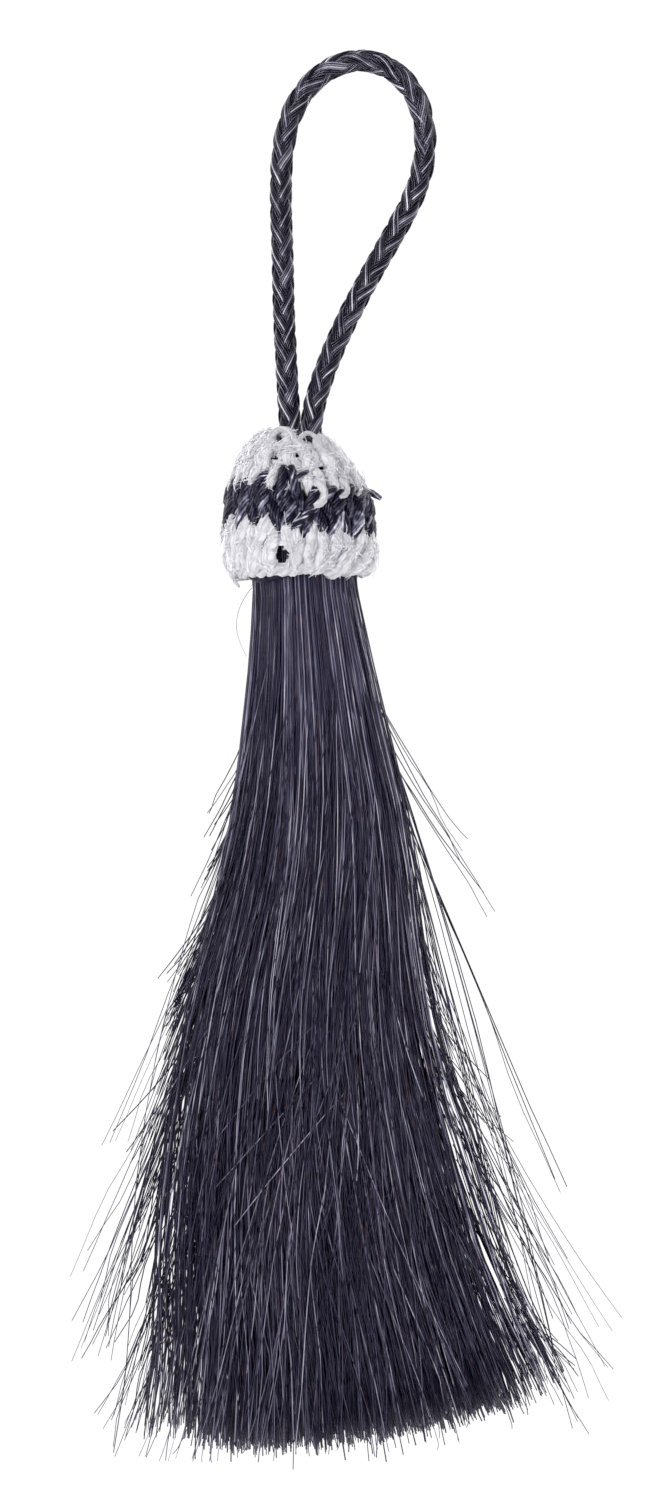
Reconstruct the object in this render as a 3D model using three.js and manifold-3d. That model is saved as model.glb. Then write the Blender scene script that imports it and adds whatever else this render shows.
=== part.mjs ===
// Horsehair tassel, lying on its back: a hair skirt, a crocheted cap and a loop of braided cord.
// Millimetres, +Z up. The loop points to +Y and the cut end of the hair to -Y. The surface is z = 0,
// and the origin is on it, below the middle of the skirt and cap together.

import * as THREE from "three";
import { mergeVertices } from "three/addons/utils/BufferGeometryUtils.js";
import Module from "manifold-3d";

const wasm = await Module();
wasm.setup();

// Driving dimensions

const surface = 0;
const gap = 0.4; // between the hair and the inside of the cap
const axisX = -5.95; // the cap's axis, left of the middle of the fanned skirt
const capCentreZ = 8.0;
const capWall = 1.3;
const grooveDepth = 0.5; // between two rounds of crochet
const roundHalf = 0.8; // half the height of a round's fullest part
const mouthWidth = 7.2; // the opening in the cap that the cord's two legs leave by
const mouthHeight = 6.4;
const cordDiameter = 2.8;
const cordSides = 8;
const cordSteps = 44;
const aroundCap = 40;
const acrossLock = 4; // points of the skirt's outline on each lock

// A row for each round of crochet, from the rim up: the height of its middle along Y,
// its left and right edges along X, and its thickness along Z.
const rounds = [
  { y: 44.6, left: -14.7, right: 2.8, thick: 15.4 },
  { y: 47.2, left: -15.4, right: 3.5, thick: 16.4 },
  { y: 49.8, left: -15.3, right: 3.3, thick: 16.6 },
  { y: 52.4, left: -15.0, right: 2.7, thick: 16.2 },
  { y: 55.0, left: -14.6, right: 1.8, thick: 15.2 },
  { y: 57.4, left: -13.8, right: 0.3, thick: 13.4 },
  { y: 59.6, left: -12.5, right: -1.2, thick: 10.8 },
];
const rim = { y: 43.3, left: -13.9, right: 2.6, thick: 15.0 };
const mouthY = 61.1;
const mouthLip = 1.0; // how far the last stitches reach round the opening

// The hair inside the cap, from its head down: the height of each section, and how much smaller it is
// there than the inside of the cap.
const hairHead = [
  { y: 58.5, draw: 1.8 },
  { y: 57.8, draw: 0.5 },
  { y: 56.4, draw: 0 },
  { y: 52.9, draw: 0 },
  { y: 49.8, draw: 0 },
  { y: 47.2, draw: 0 },
  { y: 44.6, draw: 0 },
  { y: 43.0, draw: 0 },
];

// A row for each section of the skirt below the cap, from the neck down. left and right are its edges,
// spine the height of its widest line, crown the height of its top, under how far it reaches below the
// spine before the surface flattens it, and flute how deep the locks are cut, as a share.
const skirt = [
  { y: 41.4, left: -12.2, right: 1.2, spine: 7.8, crown: 13.9, under: 6.0, flute: 0.02 },
  { y: 36.4, left: -12.5, right: 2.3, spine: 6.9, crown: 13.2, under: 6.2, flute: 0.05 },
  { y: 30.0, left: -13.2, right: 3.9, spine: 5.6, crown: 12.2, under: 6.2, flute: 0.08 },
  { y: 23.4, left: -13.9, right: 5.4, spine: 4.6, crown: 11.4, under: 6.0, flute: 0.11 },
  { y: 16.4, left: -14.8, right: 7.2, spine: 4.0, crown: 10.8, under: 6.0, flute: 0.14 },
  { y: 9.4, left: -16.1, right: 8.5, spine: 3.5, crown: 10.2, under: 6.0, flute: 0.17 },
  { y: 1.9, left: -17.9, right: 9.5, spine: 3.1, crown: 9.7, under: 6.0, flute: 0.20 },
  { y: -5.6, left: -19.9, right: 10.6, spine: 2.8, crown: 9.3, under: 6.0, flute: 0.23 },
  { y: -13.6, left: -21.6, right: 12.2, spine: 2.5, crown: 8.8, under: 6.0, flute: 0.26 },
  { y: -21.6, left: -22.9, right: 14.1, spine: 2.3, crown: 8.4, under: 6.0, flute: 0.29 },
  { y: -29.6, left: -23.7, right: 16.3, spine: 2.1, crown: 8.0, under: 6.0, flute: 0.32 },
  { y: -37.6, left: -24.1, right: 19.0, spine: 1.9, crown: 7.7, under: 6.0, flute: 0.36 },
  { y: -44.6, left: -24.1, right: 21.3, spine: 1.8, crown: 7.4, under: 6.0, flute: 0.40 },
  { y: -48.6, left: -24.1, right: 22.7, spine: 1.7, crown: 7.2, under: 6.0, flute: 0.43 },
];
const cutSection = { y: -56.0, left: -23.8, right: 24.4, spine: 1.6, crown: 6.6, under: 6.0, flute: 0.45 };
const cutHeights = { left: -59.4, middle: -60.4, right: -52.9 }; // of the line of the cut, along Y

// A row for each main lock, from left to right: its share of the width, how far its tip passes the line
// of the cut, how far the notch after it steps back, and how far the lock wanders sideways on its way
// down, as a share of the width.
const locks = [
  { width: 0.8, tip: -1.5, notch: 2.6, wander: 0.004 },
  { width: 1.3, tip: 0.4, notch: 1.6, wander: 0.012 },
  { width: 0.7, tip: -0.3, notch: 3.2, wander: -0.006 },
  { width: 1.5, tip: 0.7, notch: 1.4, wander: -0.014 },
  { width: 1.0, tip: 0.1, notch: 2.4, wander: 0.008 },
  { width: 1.6, tip: 0.6, notch: 1.2, wander: 0.015 },
  { width: 0.7, tip: -0.2, notch: 2.9, wander: 0.004 },
  { width: 1.2, tip: 0.5, notch: 1.7, wander: -0.010 },
  { width: 0.9, tip: -0.5, notch: 2.2, wander: 0.006 },
  { width: 1.4, tip: 0.3, notch: 3.4, wander: -0.008 },
  { width: 0.8, tip: -0.9, notch: 2.0, wander: -0.004 },
];

// A row for each wisp of hair that leaves the side of the skirt: where it leaves, the point it bends
// towards, where its tip lies, and its width where it leaves.
const wisps = [
  { from: [-14.0, 6.4], bend: [-20.5, -9.6], tip: [-28.8, -24.6], width: 2.0 },
  { from: [-17.0, -7.6], bend: [-23.5, -24.6], tip: [-30.8, -38.6], width: 2.4 },
  { from: [-19.0, -21.6], bend: [-24.5, -39.6], tip: [-30.9, -51.6], width: 2.4 },
  { from: [4.5, 15.4], bend: [13.0, -6.6], tip: [24.4, -29.6], width: 2.2 },
  { from: [8.0, -8.6], bend: [18.5, -28.6], tip: [30.6, -45.6], width: 2.4 },
  { from: [13.5, -27.6], bend: [22.5, -42.6], tip: [30.4, -53.6], width: 2.4 },
];
const wispHeight = 1.5;
const wispTip = 0.5; // width and height of a wisp at its tip
const wispSteps = 7;

// A wisp's section, as shares of its half width and its height, from one side over the top to the other.
const wispSection = [
  { across: 1, up: 0.35 },
  { across: 0.5, up: 1 },
  { across: -0.5, up: 1 },
  { across: -1, up: 0.35 },
  { across: -0.7, up: 0 },
  { across: 0.7, up: 0 },
];

// The cord's middle line, from inside the cap round the loop and back. Its two legs leave the cap one
// slightly above the other, and the loop slopes down until its far end lies on the surface.
const cordRoute = [
  [-7.1, 58.9, 7.05],
  [-7.15, 61.4, 7.0],
  [-7.35, 64.4, 6.7],
  [-7.65, 69.4, 6.0],
  [-7.95, 75.9, 4.9],
  [-8.1, 82.4, 3.8],
  [-8.3, 89.4, 2.65],
  [-8.1, 94.9, 1.85],
  [-7.15, 99.3, 1.55],
  [-5.1, 102.9, 1.52],
  [-2.1, 105.3, 1.52],
  [1.3, 106.15, 1.52],
  [4.9, 105.1, 1.52],
  [7.7, 102.2, 1.52],
  [8.95, 98.3, 1.55],
  [8.95, 94.3, 1.7],
  [7.8, 90.0, 2.1],
  [5.6, 85.6, 2.95],
  [2.6, 80.2, 4.2],
  [-0.3, 74.6, 5.6],
  [-2.7, 69.0, 7.0],
  [-4.15, 64.4, 8.2],
  [-4.65, 61.4, 8.9],
  [-4.75, 58.9, 9.05],
];

// Materials

function material(color, roughness) {
  return new THREE.MeshStandardMaterial({ color, roughness, metalness: 0 });
}

// Closed bodies from rings of points

function bodyFrom(points, faces) {
  const geometry = new THREE.BufferGeometry();
  geometry.setAttribute("position", new THREE.Float32BufferAttribute(points.flat(), 3));
  geometry.setIndex(faces.flat());
  return geometry;
}

// Skins a list of rings with equal numbers of points. The last ring joins the first one if closed is
// true. Otherwise both ends are filled by strips between the upper and the lower half of the ring.
function skin(rings, closed) {
  const count = rings[0].length;
  const faces = [];
  const spans = closed ? rings.length : rings.length - 1;
  for (let i = 0; i < spans; i += 1) {
    const here = i * count;
    const next = ((i + 1) % rings.length) * count;
    for (let j = 0; j < count; j += 1) {
      const k = (j + 1) % count;
      faces.push([here + j, next + j, next + k], [here + j, next + k, here + k]);
    }
  }
  if (!closed) {
    const last = (rings.length - 1) * count;
    for (let j = 0; j < count / 2; j += 1) {
      const [a, b, c, d] = [j, j + 1, (count - j - 1) % count, (count - j) % count];
      const ends = [[a, b, c], [a, c, d]].filter(([p, q, r]) => p !== q && q !== r && r !== p);
      for (const [p, q, r] of ends) {
        faces.push([p, q, r], [last + p, last + r, last + q]);
      }
    }
  }
  return bodyFrom(rings.flat(), faces);
}

function solid(geometry) {
  geometry.deleteAttribute("normal");
  geometry.deleteAttribute("uv");
  const merged = mergeVertices(geometry, 1e-4);
  return new wasm.Manifold(new wasm.Mesh({
    numProp: 3,
    vertProperties: new Float32Array(merged.attributes.position.array),
    triVerts: new Uint32Array(merged.index.array),
  }));
}

function geometryOf(manifold) {
  const mesh = manifold.getMesh();
  const geometry = new THREE.BufferGeometry();
  geometry.setAttribute("position", new THREE.BufferAttribute(mesh.vertProperties, 3));
  geometry.setIndex(new THREE.BufferAttribute(mesh.triVerts, 1));
  return geometry;
}

function between(table, y, key) {
  const i = table.findIndex((row) => row.y <= y);
  if (i < 0) return table[table.length - 1][key];
  if (i === 0) return table[0][key];
  const [above, below] = [table[i - 1], table[i]];
  return THREE.MathUtils.mapLinear(y, above.y, below.y, above[key], below[key]);
}

// The cap

// The cap's outer outline from the rim up: each round swells, and a groove parts it from the next.
function capOutline() {
  const rows = [{ ...rim, inset: 0 }];
  rounds.forEach((round, i) => {
    if (i > 0) {
      const below = rounds[i - 1];
      rows.push({
        y: (round.y + below.y) / 2,
        left: (round.left + below.left) / 2,
        right: (round.right + below.right) / 2,
        thick: (round.thick + below.thick) / 2,
        inset: grooveDepth,
      });
      rows.push({ ...round, y: round.y - roundHalf, inset: grooveDepth / 4 });
    }
    rows.push({ ...round, inset: 0 });
    rows.push({ ...round, y: round.y + roundHalf, inset: grooveDepth / 4 });
  });
  return rows;
}

function capRing(row, inset) {
  const halfWidth = (row.right - row.left) / 2 - inset;
  const halfThick = row.thick / 2 - inset;
  const middle = (row.left + row.right) / 2;
  const ring = [];
  for (let j = 0; j < aroundCap; j += 1) {
    const a = (2 * Math.PI * j) / aroundCap;
    const z = capCentreZ + halfThick * Math.sin(a);
    ring.push([middle + halfWidth * Math.cos(a), row.y, Math.max(surface, z)]);
  }
  return ring;
}

function mouthRing(y, lip) {
  const half = mouthWidth / 2 + lip;
  return capRing({ y, left: axisX - half, right: axisX + half, thick: mouthHeight + 2 * lip }, 0);
}

function cap() {
  const outer = capOutline().map((row) => capRing(row, row.inset));
  const edge = [mouthRing(mouthY, mouthLip), mouthRing(mouthY - 0.2, 0), mouthRing(mouthY - capWall, 0)];
  const inner = [rim, ...rounds].map((row) => capRing(row, capWall));
  return skin([...outer, ...edge, ...inner.reverse()], true);
}

// The skirt

// A section of the hair inside the cap follows the inside of the cap.
function headRow({ y, draw }) {
  const table = [...rounds].reverse().concat(rim);
  const inset = capWall + gap + draw;
  const halfThick = between(table, y, "thick") / 2 - inset;
  return {
    y,
    left: between(table, y, "left") + inset,
    right: between(table, y, "right") - inset,
    spine: capCentreZ,
    crown: capCentreZ + halfThick,
    under: halfThick,
    flute: 0,
  };
}

// The line of the cut, as an arc through its left end, its middle and its right end.
function cutLine(across) {
  const chord = THREE.MathUtils.lerp(cutHeights.left, cutHeights.right, across);
  const sag = cutHeights.middle - (cutHeights.left + cutHeights.right) / 2;
  return chord + sag * 4 * across * (1 - across);
}

// Where each point of the outline stands across the skirt, with the height of its lock's ridge there,
// from 0 in a notch to 1 on the ridge, and how far it reaches past the line of the cut.
function lockPoints() {
  const whole = locks.reduce((sum, lock) => sum + lock.width, 0);
  const points = [];
  let start = 0;
  locks.forEach((lock, i) => {
    const before = i > 0 ? locks[i - 1] : { notch: 0, wander: 0 };
    for (let k = 0; k < acrossLock; k += 1) {
      const t = k / acrossLock;
      const ridge = Math.sin(Math.PI * t);
      const notch = THREE.MathUtils.lerp(before.notch, lock.notch, t);
      points.push({
        across: (start + lock.width * t) / whole,
        ridge,
        reach: lock.tip * ridge - notch * (1 - ridge),
        wander: THREE.MathUtils.lerp(before.wander, lock.wander, t),
      });
    }
    start += lock.width;
  });
  const last = locks[locks.length - 1];
  points.push({ across: 1, ridge: 0, reach: -last.notch, wander: 0 });
  return points;
}

function skirtPoint(row, point, top, last) {
  const down = THREE.MathUtils.clamp((skirt[0].y - row.y) / (skirt[0].y - cutSection.y), 0, 1);
  const across = point.across + point.wander * Math.sin(1.5 * Math.PI * down);
  const rise = Math.sqrt(Math.max(0, 1 - (2 * point.across - 1) ** 2));
  const full = rise * (1 - row.flute * (1 - point.ridge));
  const x = THREE.MathUtils.lerp(row.left, row.right, across);
  const y = last ? cutLine(point.across) - point.reach : row.y;
  const z = top ? row.spine + (row.crown - row.spine) * full : row.spine - row.under * full;
  return [x, y, Math.max(surface, z)];
}

// The outline goes over the top from left to right, and back along the underside.
function skirtRing(row, last) {
  const points = lockPoints();
  const over = points.map((point) => skirtPoint(row, point, true, last));
  const back = points.slice(1, -1).reverse().map((point) => skirtPoint(row, point, false, last));
  return [...over, ...back];
}

// A wisp is a flat, tapering strand on the surface, from inside the skirt to its own tip.
function wisp({ from, bend, tip, width }) {
  const line = new THREE.QuadraticBezierCurve(
    new THREE.Vector2(...from), new THREE.Vector2(...bend), new THREE.Vector2(...tip));
  const rings = [];
  for (let i = 0; i <= wispSteps; i += 1) {
    const t = i / wispSteps;
    const { x, y } = line.getPoint(t);
    const along = line.getTangent(t);
    const half = THREE.MathUtils.lerp(width, wispTip, t) / 2;
    const high = THREE.MathUtils.lerp(wispHeight, wispTip, t);
    rings.push(wispSection.map(({ across, up }) => [
      x + along.y * half * across,
      y - along.x * half * across,
      surface + high * up,
    ]));
  }
  return skin(rings, false);
}

function horsehair() {
  const rows = [...hairHead.map(headRow), ...skirt];
  const rings = rows.map((row) => skirtRing(row, false));
  rings.push(skirtRing(cutSection, true));
  let body = solid(skin(rings, false));
  for (const row of wisps) {
    body = body.add(solid(wisp(row)));
  }
  return geometryOf(body);
}

// The loop

function loop() {
  const route = new THREE.CatmullRomCurve3(
    cordRoute.map(([x, y, z]) => new THREE.Vector3(x, y, z)), false, "centripetal");
  const section = new THREE.Shape();
  for (let j = 0; j < cordSides; j += 1) {
    const a = (2 * Math.PI * (j + 0.5)) / cordSides;
    const radius = cordDiameter / 2 / Math.cos(Math.PI / cordSides);
    const point = [radius * Math.cos(a), radius * Math.sin(a)];
    if (j === 0) section.moveTo(...point);
    else section.lineTo(...point);
  }
  section.closePath();
  return new THREE.ExtrudeGeometry(section, { steps: cordSteps, extrudePath: route });
}

// The tassel

function piece(name, geometry, finish) {
  const mesh = new THREE.Mesh(geometry, finish);
  mesh.name = name;
  return mesh;
}

const tassel = new THREE.Group();
tassel.add(
  piece("horsehair_skirt", horsehair(), material(0x17161c, 0.45)),
  piece("crocheted_cap", cap(), material(0xe4e3ea, 0.8)),
  piece("hanging_loop", loop(), material(0x1d1b24, 0.4)),
);

export default tassel;
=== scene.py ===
# %% [markdown]
# A horsehair tassel lies on its back on a white table, seen from straight above. It has three parts:
# a loop of braided cord, a crocheted cap, and a skirt of about four and a half thousand cut hairs.
# Almost everything on it is a long thin thread that follows a path. So the lesson is mostly about
# working out good paths, and one helper then gives every path its thickness. Paths are worked out in
# millimetres, and only the meshes are in metres.

import math

import bmesh
import bpy
import numpy as np
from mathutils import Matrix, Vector


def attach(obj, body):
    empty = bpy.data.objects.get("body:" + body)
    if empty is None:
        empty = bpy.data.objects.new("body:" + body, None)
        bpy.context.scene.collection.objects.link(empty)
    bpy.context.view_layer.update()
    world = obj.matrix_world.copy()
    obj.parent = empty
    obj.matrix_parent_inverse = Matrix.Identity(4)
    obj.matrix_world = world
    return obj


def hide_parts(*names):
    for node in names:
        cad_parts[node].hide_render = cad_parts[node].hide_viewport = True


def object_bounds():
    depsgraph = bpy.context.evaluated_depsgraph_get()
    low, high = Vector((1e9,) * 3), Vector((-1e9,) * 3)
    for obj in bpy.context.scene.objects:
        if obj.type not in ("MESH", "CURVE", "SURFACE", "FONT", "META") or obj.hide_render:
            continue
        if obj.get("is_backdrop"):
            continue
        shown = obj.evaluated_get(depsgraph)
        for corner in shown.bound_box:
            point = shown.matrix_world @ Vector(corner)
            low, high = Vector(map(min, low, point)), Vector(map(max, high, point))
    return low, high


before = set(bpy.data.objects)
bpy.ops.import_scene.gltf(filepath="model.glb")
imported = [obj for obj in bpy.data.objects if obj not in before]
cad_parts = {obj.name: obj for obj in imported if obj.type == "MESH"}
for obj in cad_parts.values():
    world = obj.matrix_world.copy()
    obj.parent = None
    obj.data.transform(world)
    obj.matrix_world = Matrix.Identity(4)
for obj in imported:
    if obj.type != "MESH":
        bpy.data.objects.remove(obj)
cad_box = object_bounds()
MM = 0.001
BODY = "root"
SEED = 20
rng = np.random.default_rng(SEED)
print("frame:", sorted(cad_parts), "box", [round(v, 4) for v in cad_box[1] - cad_box[0]])

# %% [markdown]
# The photograph is taken from far above, so lines that run up show no perspective. A long lens high
# over the table gives that. The picture's long side covers 180 mm of the table, and the camera stands
# over the middle of the picture, which is not quite the middle of the tassel.

# %% Camera
PICTURE_LENGTH = 180.0 * MM
PICTURE_CENTRE = Vector((-2.46, 22.9, 5.0)) * MM
LENS = 110.0
SENSOR = 36.0
camera = bpy.data.objects.new("camera", bpy.data.cameras.new("camera"))
bpy.context.scene.collection.objects.link(camera)
camera.data.lens = LENS
camera.data.sensor_width = SENSOR
camera.location = PICTURE_CENTRE + Vector((0, 0, PICTURE_LENGTH * LENS / SENSOR))
bpy.context.scene.camera = camera
print("camera height", round(camera.location.z, 3))

# %% [markdown]
# Every thread is a tube along a line of points. To keep a tube from twisting, each ring of points
# takes over the direction of the ring before it and is only tilted to stay square to the line. This
# is called parallel transport. Thousands of operator calls would be slow, so all tubes of one kind are
# worked out together as arrays and joined into one mesh.

# %% A helper that turns lines into tubes
TINY = 1e-12
# The first ring's side, which may be any direction that no tube starts along
TUBE_SIDE = (0.31, 0.17, 1.0)
# The texture map: how many more columns than rows it has, and the free edge of each strip
MAP_SHAPE = 3
EDGE_U, EDGE_V = 0.1, 0.05


def unit(vectors):
    """The same vectors with length 1."""
    return vectors / np.maximum(np.linalg.norm(vectors, axis=-1, keepdims=True), TINY)


def along_lines(lines):
    """The direction of each line at each of its points."""
    return unit(np.gradient(lines, axis=1))


def square_to(direction, guess):
    """The part of guess that is square to direction, with length 1."""
    return unit(guess - np.sum(guess * direction, axis=-1, keepdims=True) * direction)


def transported(directions, first):
    """A side direction for each point, carried along each line without twist."""
    sides = np.empty_like(directions)
    sides[:, 0] = square_to(directions[:, 0], first)
    for i in range(1, directions.shape[1]):
        sides[:, i] = square_to(directions[:, i], sides[:, i - 1])
    return sides


def ring_faces(lines, points, sides):
    """Corner numbers of the side walls and of the two end caps of each tube."""
    ring = np.arange(sides)
    after = (ring + 1) % sides
    start = (np.arange(lines)[:, None] * points + np.arange(points - 1)[None, :]) * sides
    start = start.reshape(-1, 1)
    walls = np.stack([start + ring, start + after, start + sides + after, start + sides + ring], axis=2)
    first = np.arange(lines)[:, None] * points * sides + ring[::-1]
    last = first[:, ::-1] + (points - 1) * sides
    return walls.reshape(-1, 4), np.concatenate([first, last])


def tubes(name, lines, radii, sides, tone):
    """One mesh of closed tubes. lines is tubes x points x 3, radii tubes x points, tone one per tube
    or tubes x points."""
    count, points = lines.shape[:2]
    directions = along_lines(lines)
    across = transported(directions, TUBE_SIDE)
    over = np.cross(directions, across)
    turn = 2 * np.pi * np.arange(sides)[:, None] / sides
    ring = np.cos(turn) * across[:, :, None, :] + np.sin(turn) * over[:, :, None, :]
    corners = lines[:, :, None, :] + ring * radii[:, :, None, None]
    walls, caps = ring_faces(count, points, sides)
    mesh = bpy.data.meshes.new(name)
    mesh.vertices.add(corners.size // 3)
    mesh.vertices.foreach_set("co", corners.reshape(-1).astype(np.float32))
    loops = np.concatenate([walls.reshape(-1), caps.reshape(-1)])
    sizes = np.concatenate([np.full(len(walls), 4), np.full(len(caps), sides)])
    mesh.loops.add(len(loops))
    mesh.loops.foreach_set("vertex_index", loops.astype(np.int32))
    mesh.polygons.add(len(sizes))
    mesh.polygons.foreach_set("loop_start", (np.cumsum(sizes) - sizes).astype(np.int32))
    mesh.polygons.foreach_set("use_smooth", np.ones(len(sizes), bool))
    mesh.update(calc_edges=True)
    lay_out(mesh, loops, count, points, sides)
    shade = mesh.attributes.new("tone", "FLOAT", "POINT")
    tone = np.broadcast_to(np.reshape(tone, (count, -1)), (count, points))
    shade.data.foreach_set("value", np.repeat(tone.reshape(-1), sides).astype(np.float32))
    return shown(name, mesh)


def lay_out(mesh, loops, count, points, sides):
    """A texture map with one strip for each tube, side by side in rows."""
    columns = int(math.sqrt(count * MAP_SHAPE))
    rows = math.ceil(count / columns)
    tube = loops // (points * sides)
    point = loops // sides % points
    side = loops % sides
    wall_corners = (points - 1) * sides * 4 * count
    corner = np.arange(len(loops))
    closing = (corner < wall_corners) & (side == 0) & np.isin(corner % 4, (1, 2))
    u = (tube % columns + EDGE_U + (1 - 2 * EDGE_U) * (side + sides * closing) / sides) / columns
    v = (tube // columns + EDGE_V + (1 - 2 * EDGE_V) * point / (points - 1)) / rows
    layer = mesh.uv_layers.new(name="OFBake")
    layer.data.foreach_set("uv", np.stack([u, v], axis=1).reshape(-1).astype(np.float32))


def shown(name, mesh):
    """Puts a finished mesh in the scene, at the origin."""
    piece = bpy.data.objects.new(name, mesh)
    bpy.context.scene.collection.objects.link(piece)
    return piece


def triangles(piece):
    """How many triangles a piece has."""
    sizes = np.empty(len(piece.data.polygons), np.int32)
    piece.data.polygons.foreach_get("loop_total", sizes)
    return int((sizes - 2).sum())


def smooth_noise(count, points, knots, spread):
    """A smooth random wander for each line: random values at a few knots, with an eased path between."""
    values = rng.normal(0, spread, (count, knots))
    at = np.linspace(0, knots - 1, points)
    low = np.minimum(at.astype(int), knots - 2)
    ease = at - low
    ease = ease * ease * (3 - 2 * ease)
    return values[:, low] * (1 - ease) + values[:, low + 1] * ease


print("tube helper ready")

# %% [markdown]
# The cord's route follows the one that the frame holds: out of the cap, round the open loop and back
# into the cap. The points are joined by a smooth curve, a centripetal Catmull-Rom spline, which passes
# through each of them without overshooting. It is measured off in equal steps, so that the braid keeps
# the same pitch all the way.

# %% The cord's route
SPAN_POINTS = 24
CORD_STEP = 0.5
CORD_ROUTE = [
    (-7.1, 58.9, 7.05),
    (-7.15, 61.4, 7.0),
    (-7.35, 64.4, 6.7),
    (-7.65, 69.4, 6.0),
    (-7.95, 75.9, 4.9),
    (-8.1, 82.4, 3.8),
    (-8.3, 89.4, 2.65),
    (-8.1, 94.9, 1.85),
    (-7.15, 99.3, 1.55),
    (-5.1, 102.9, 1.52),
    (-2.1, 105.3, 1.52),
    (1.3, 106.15, 1.52),
    (4.9, 105.1, 1.52),
    (7.7, 102.2, 1.52),
    (8.95, 98.3, 1.55),
    (8.95, 94.3, 1.7),
    (7.8, 90.0, 2.1),
    (5.6, 85.6, 2.95),
    (2.6, 80.2, 4.2),
    (-0.3, 74.6, 5.6),
    (-2.7, 69.0, 7.0),
    (-4.15, 64.4, 8.2),
    (-4.65, 61.4, 8.9),
    (-4.75, 58.9, 9.05),
]


def smooth_curve(route, step):
    """Points about a step apart on the Catmull-Rom curve through the route, and the curve's length."""
    knots = np.array(route, float)
    knots = np.concatenate([[2 * knots[0] - knots[1]], knots, [2 * knots[-1] - knots[-2]]])
    found = []
    for a, b, c, d in zip(knots, knots[1:], knots[2:], knots[3:]):
        t1 = np.linalg.norm(b - a) ** 0.5
        t2 = t1 + np.linalg.norm(c - b) ** 0.5
        t3 = t2 + np.linalg.norm(d - c) ** 0.5
        t = np.linspace(t1, t2, SPAN_POINTS, endpoint=False)[:, None]
        ab = (t1 - t) / t1 * a + t / t1 * b
        bc = (t2 - t) / (t2 - t1) * b + (t - t1) / (t2 - t1) * c
        cd = (t3 - t) / (t3 - t2) * c + (t - t2) / (t3 - t2) * d
        abc = (t2 - t) / t2 * ab + t / t2 * bc
        bcd = (t3 - t) / (t3 - t1) * bc + (t - t1) / (t3 - t1) * cd
        found.append((t2 - t) / (t2 - t1) * abc + (t - t1) / (t2 - t1) * bcd)
    found = np.concatenate([*found, [knots[-2]]])
    run = np.concatenate([[0], np.cumsum(np.linalg.norm(np.diff(found, axis=0), axis=1))])
    marks = np.linspace(0, run[-1], int(run[-1] / step) + 1)
    return np.stack([np.interp(marks, run, found[:, k]) for k in range(3)], axis=1), run[-1]


cord_line, cord_length = smooth_curve(CORD_ROUTE, CORD_STEP)
print("cord length mm", round(cord_length, 1), "points", len(cord_line))

# %% [markdown]
# The cord is a round braid of eight strands. Four wind to the left and four to the right, and each
# goes over two and under two. Seen round the cord, that makes four faces: on two of them the
# left-winding strands lie on top, on the other two the right-winding ones. Where two faces meet, the
# strands form the row of V shapes that the photograph shows. So a strand's distance from the middle is
# simply a wave of the angle at which it stands. In the photograph the V shapes point the same way on
# both legs of the loop, though the cord runs back on the second one. So the faces make a quarter turn
# at the crown. Each strand is a flat bundle of single hairs in two layers. One hair of each strand is
# painted lighter: a painted highlight that draws the bright line of reflected light along the strand.

# %% Braid the cord
LEAD = 14.4
STRANDS_EACH_WAY = 4
TOP_HAIRS = 6
UNDER_HAIRS = 5
STRAND_HALF_WIDTH = 0.61
MIDDLE_RADIUS = 1.01
WEAVE_DEPTH = 0.25
CORD_HAIR_RADIUS = 0.11
CORD_HAIR_SIDES = 4
FIRST_FACE = math.radians(-45)
TURN_AT_CROWN = math.radians(90)
TURN_QUICKNESS = 6
WAVE_FLATNESS = 1.6
# How much narrower and deeper the under layer is, and how much deeper a strand's edges are
UNDER_NARROWER, UNDER_DEPTH, EDGE_DEPTH = 0.16, 0.20, 0.10
# Which top hair of each strand carries the painted highlight, its tones, and the other hairs' tones
HIGHLIGHT_HAIR = 2
PAINTED_HIGHLIGHT_TONES, DARK_TONES = (0.82, 0.96), (0.1, 0.74)


def cord_frame(line):
    """The side and upward directions square to the cord at each point."""
    direction = along_lines(line[None])[0]
    side = unit(np.cross(direction, (0.0, 0.0, 1.0)))
    return side, np.cross(side, direction)


def braid_strand(line, way, number):
    """The middle line of one strand, with its outward and sideways directions."""
    side, up = cord_frame(line)
    run = np.linspace(0, cord_length, len(line))
    turned = 0.5 * (1 + np.tanh((run / cord_length - 0.5) * TURN_QUICKNESS))
    faces = FIRST_FACE + TURN_AT_CROWN * turned
    around = 2 * np.pi * (number + 0.5 * (way < 0)) / STRANDS_EACH_WAY + way * 2 * np.pi * run / LEAD
    wave = way * np.cos(2 * (around - faces))
    wave = np.tanh(WAVE_FLATNESS * wave) / np.tanh(WAVE_FLATNESS)
    out = np.cos(around)[:, None] * side + np.sin(around)[:, None] * up
    middle = line + out * (MIDDLE_RADIUS + WEAVE_DEPTH * wave)[:, None]
    direction = along_lines(middle[None])[0]
    outward = square_to(direction, out)
    return middle, outward, np.cross(direction, outward)


def strand_hairs(middle, outward, sideways):
    """The hairs of one strand, a full layer and a narrower one under it, and how light each hair is."""
    lines, lightness = [], []
    for layer, hairs in enumerate((TOP_HAIRS, UNDER_HAIRS)):
        for number, place in enumerate(np.linspace(-1, 1, hairs)):
            # The one light hair of each strand is a painted highlight
            painted_highlight = layer == 0 and number == HIGHLIGHT_HAIR
            lightness.append(rng.uniform(*(PAINTED_HIGHLIGHT_TONES if painted_highlight else DARK_TONES)))
            across = place * STRAND_HALF_WIDTH * (1 - UNDER_NARROWER * layer)
            sag = -EDGE_DEPTH * place**2 - UNDER_DEPTH * layer
            jitter = smooth_noise(1, len(middle), knots=30, spread=0.022)[0]
            lift = smooth_noise(1, len(middle), knots=30, spread=0.012)[0]
            lines.append(middle + sideways * (across + jitter)[:, None] + outward * (sag + lift)[:, None])
    return lines, lightness


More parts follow.
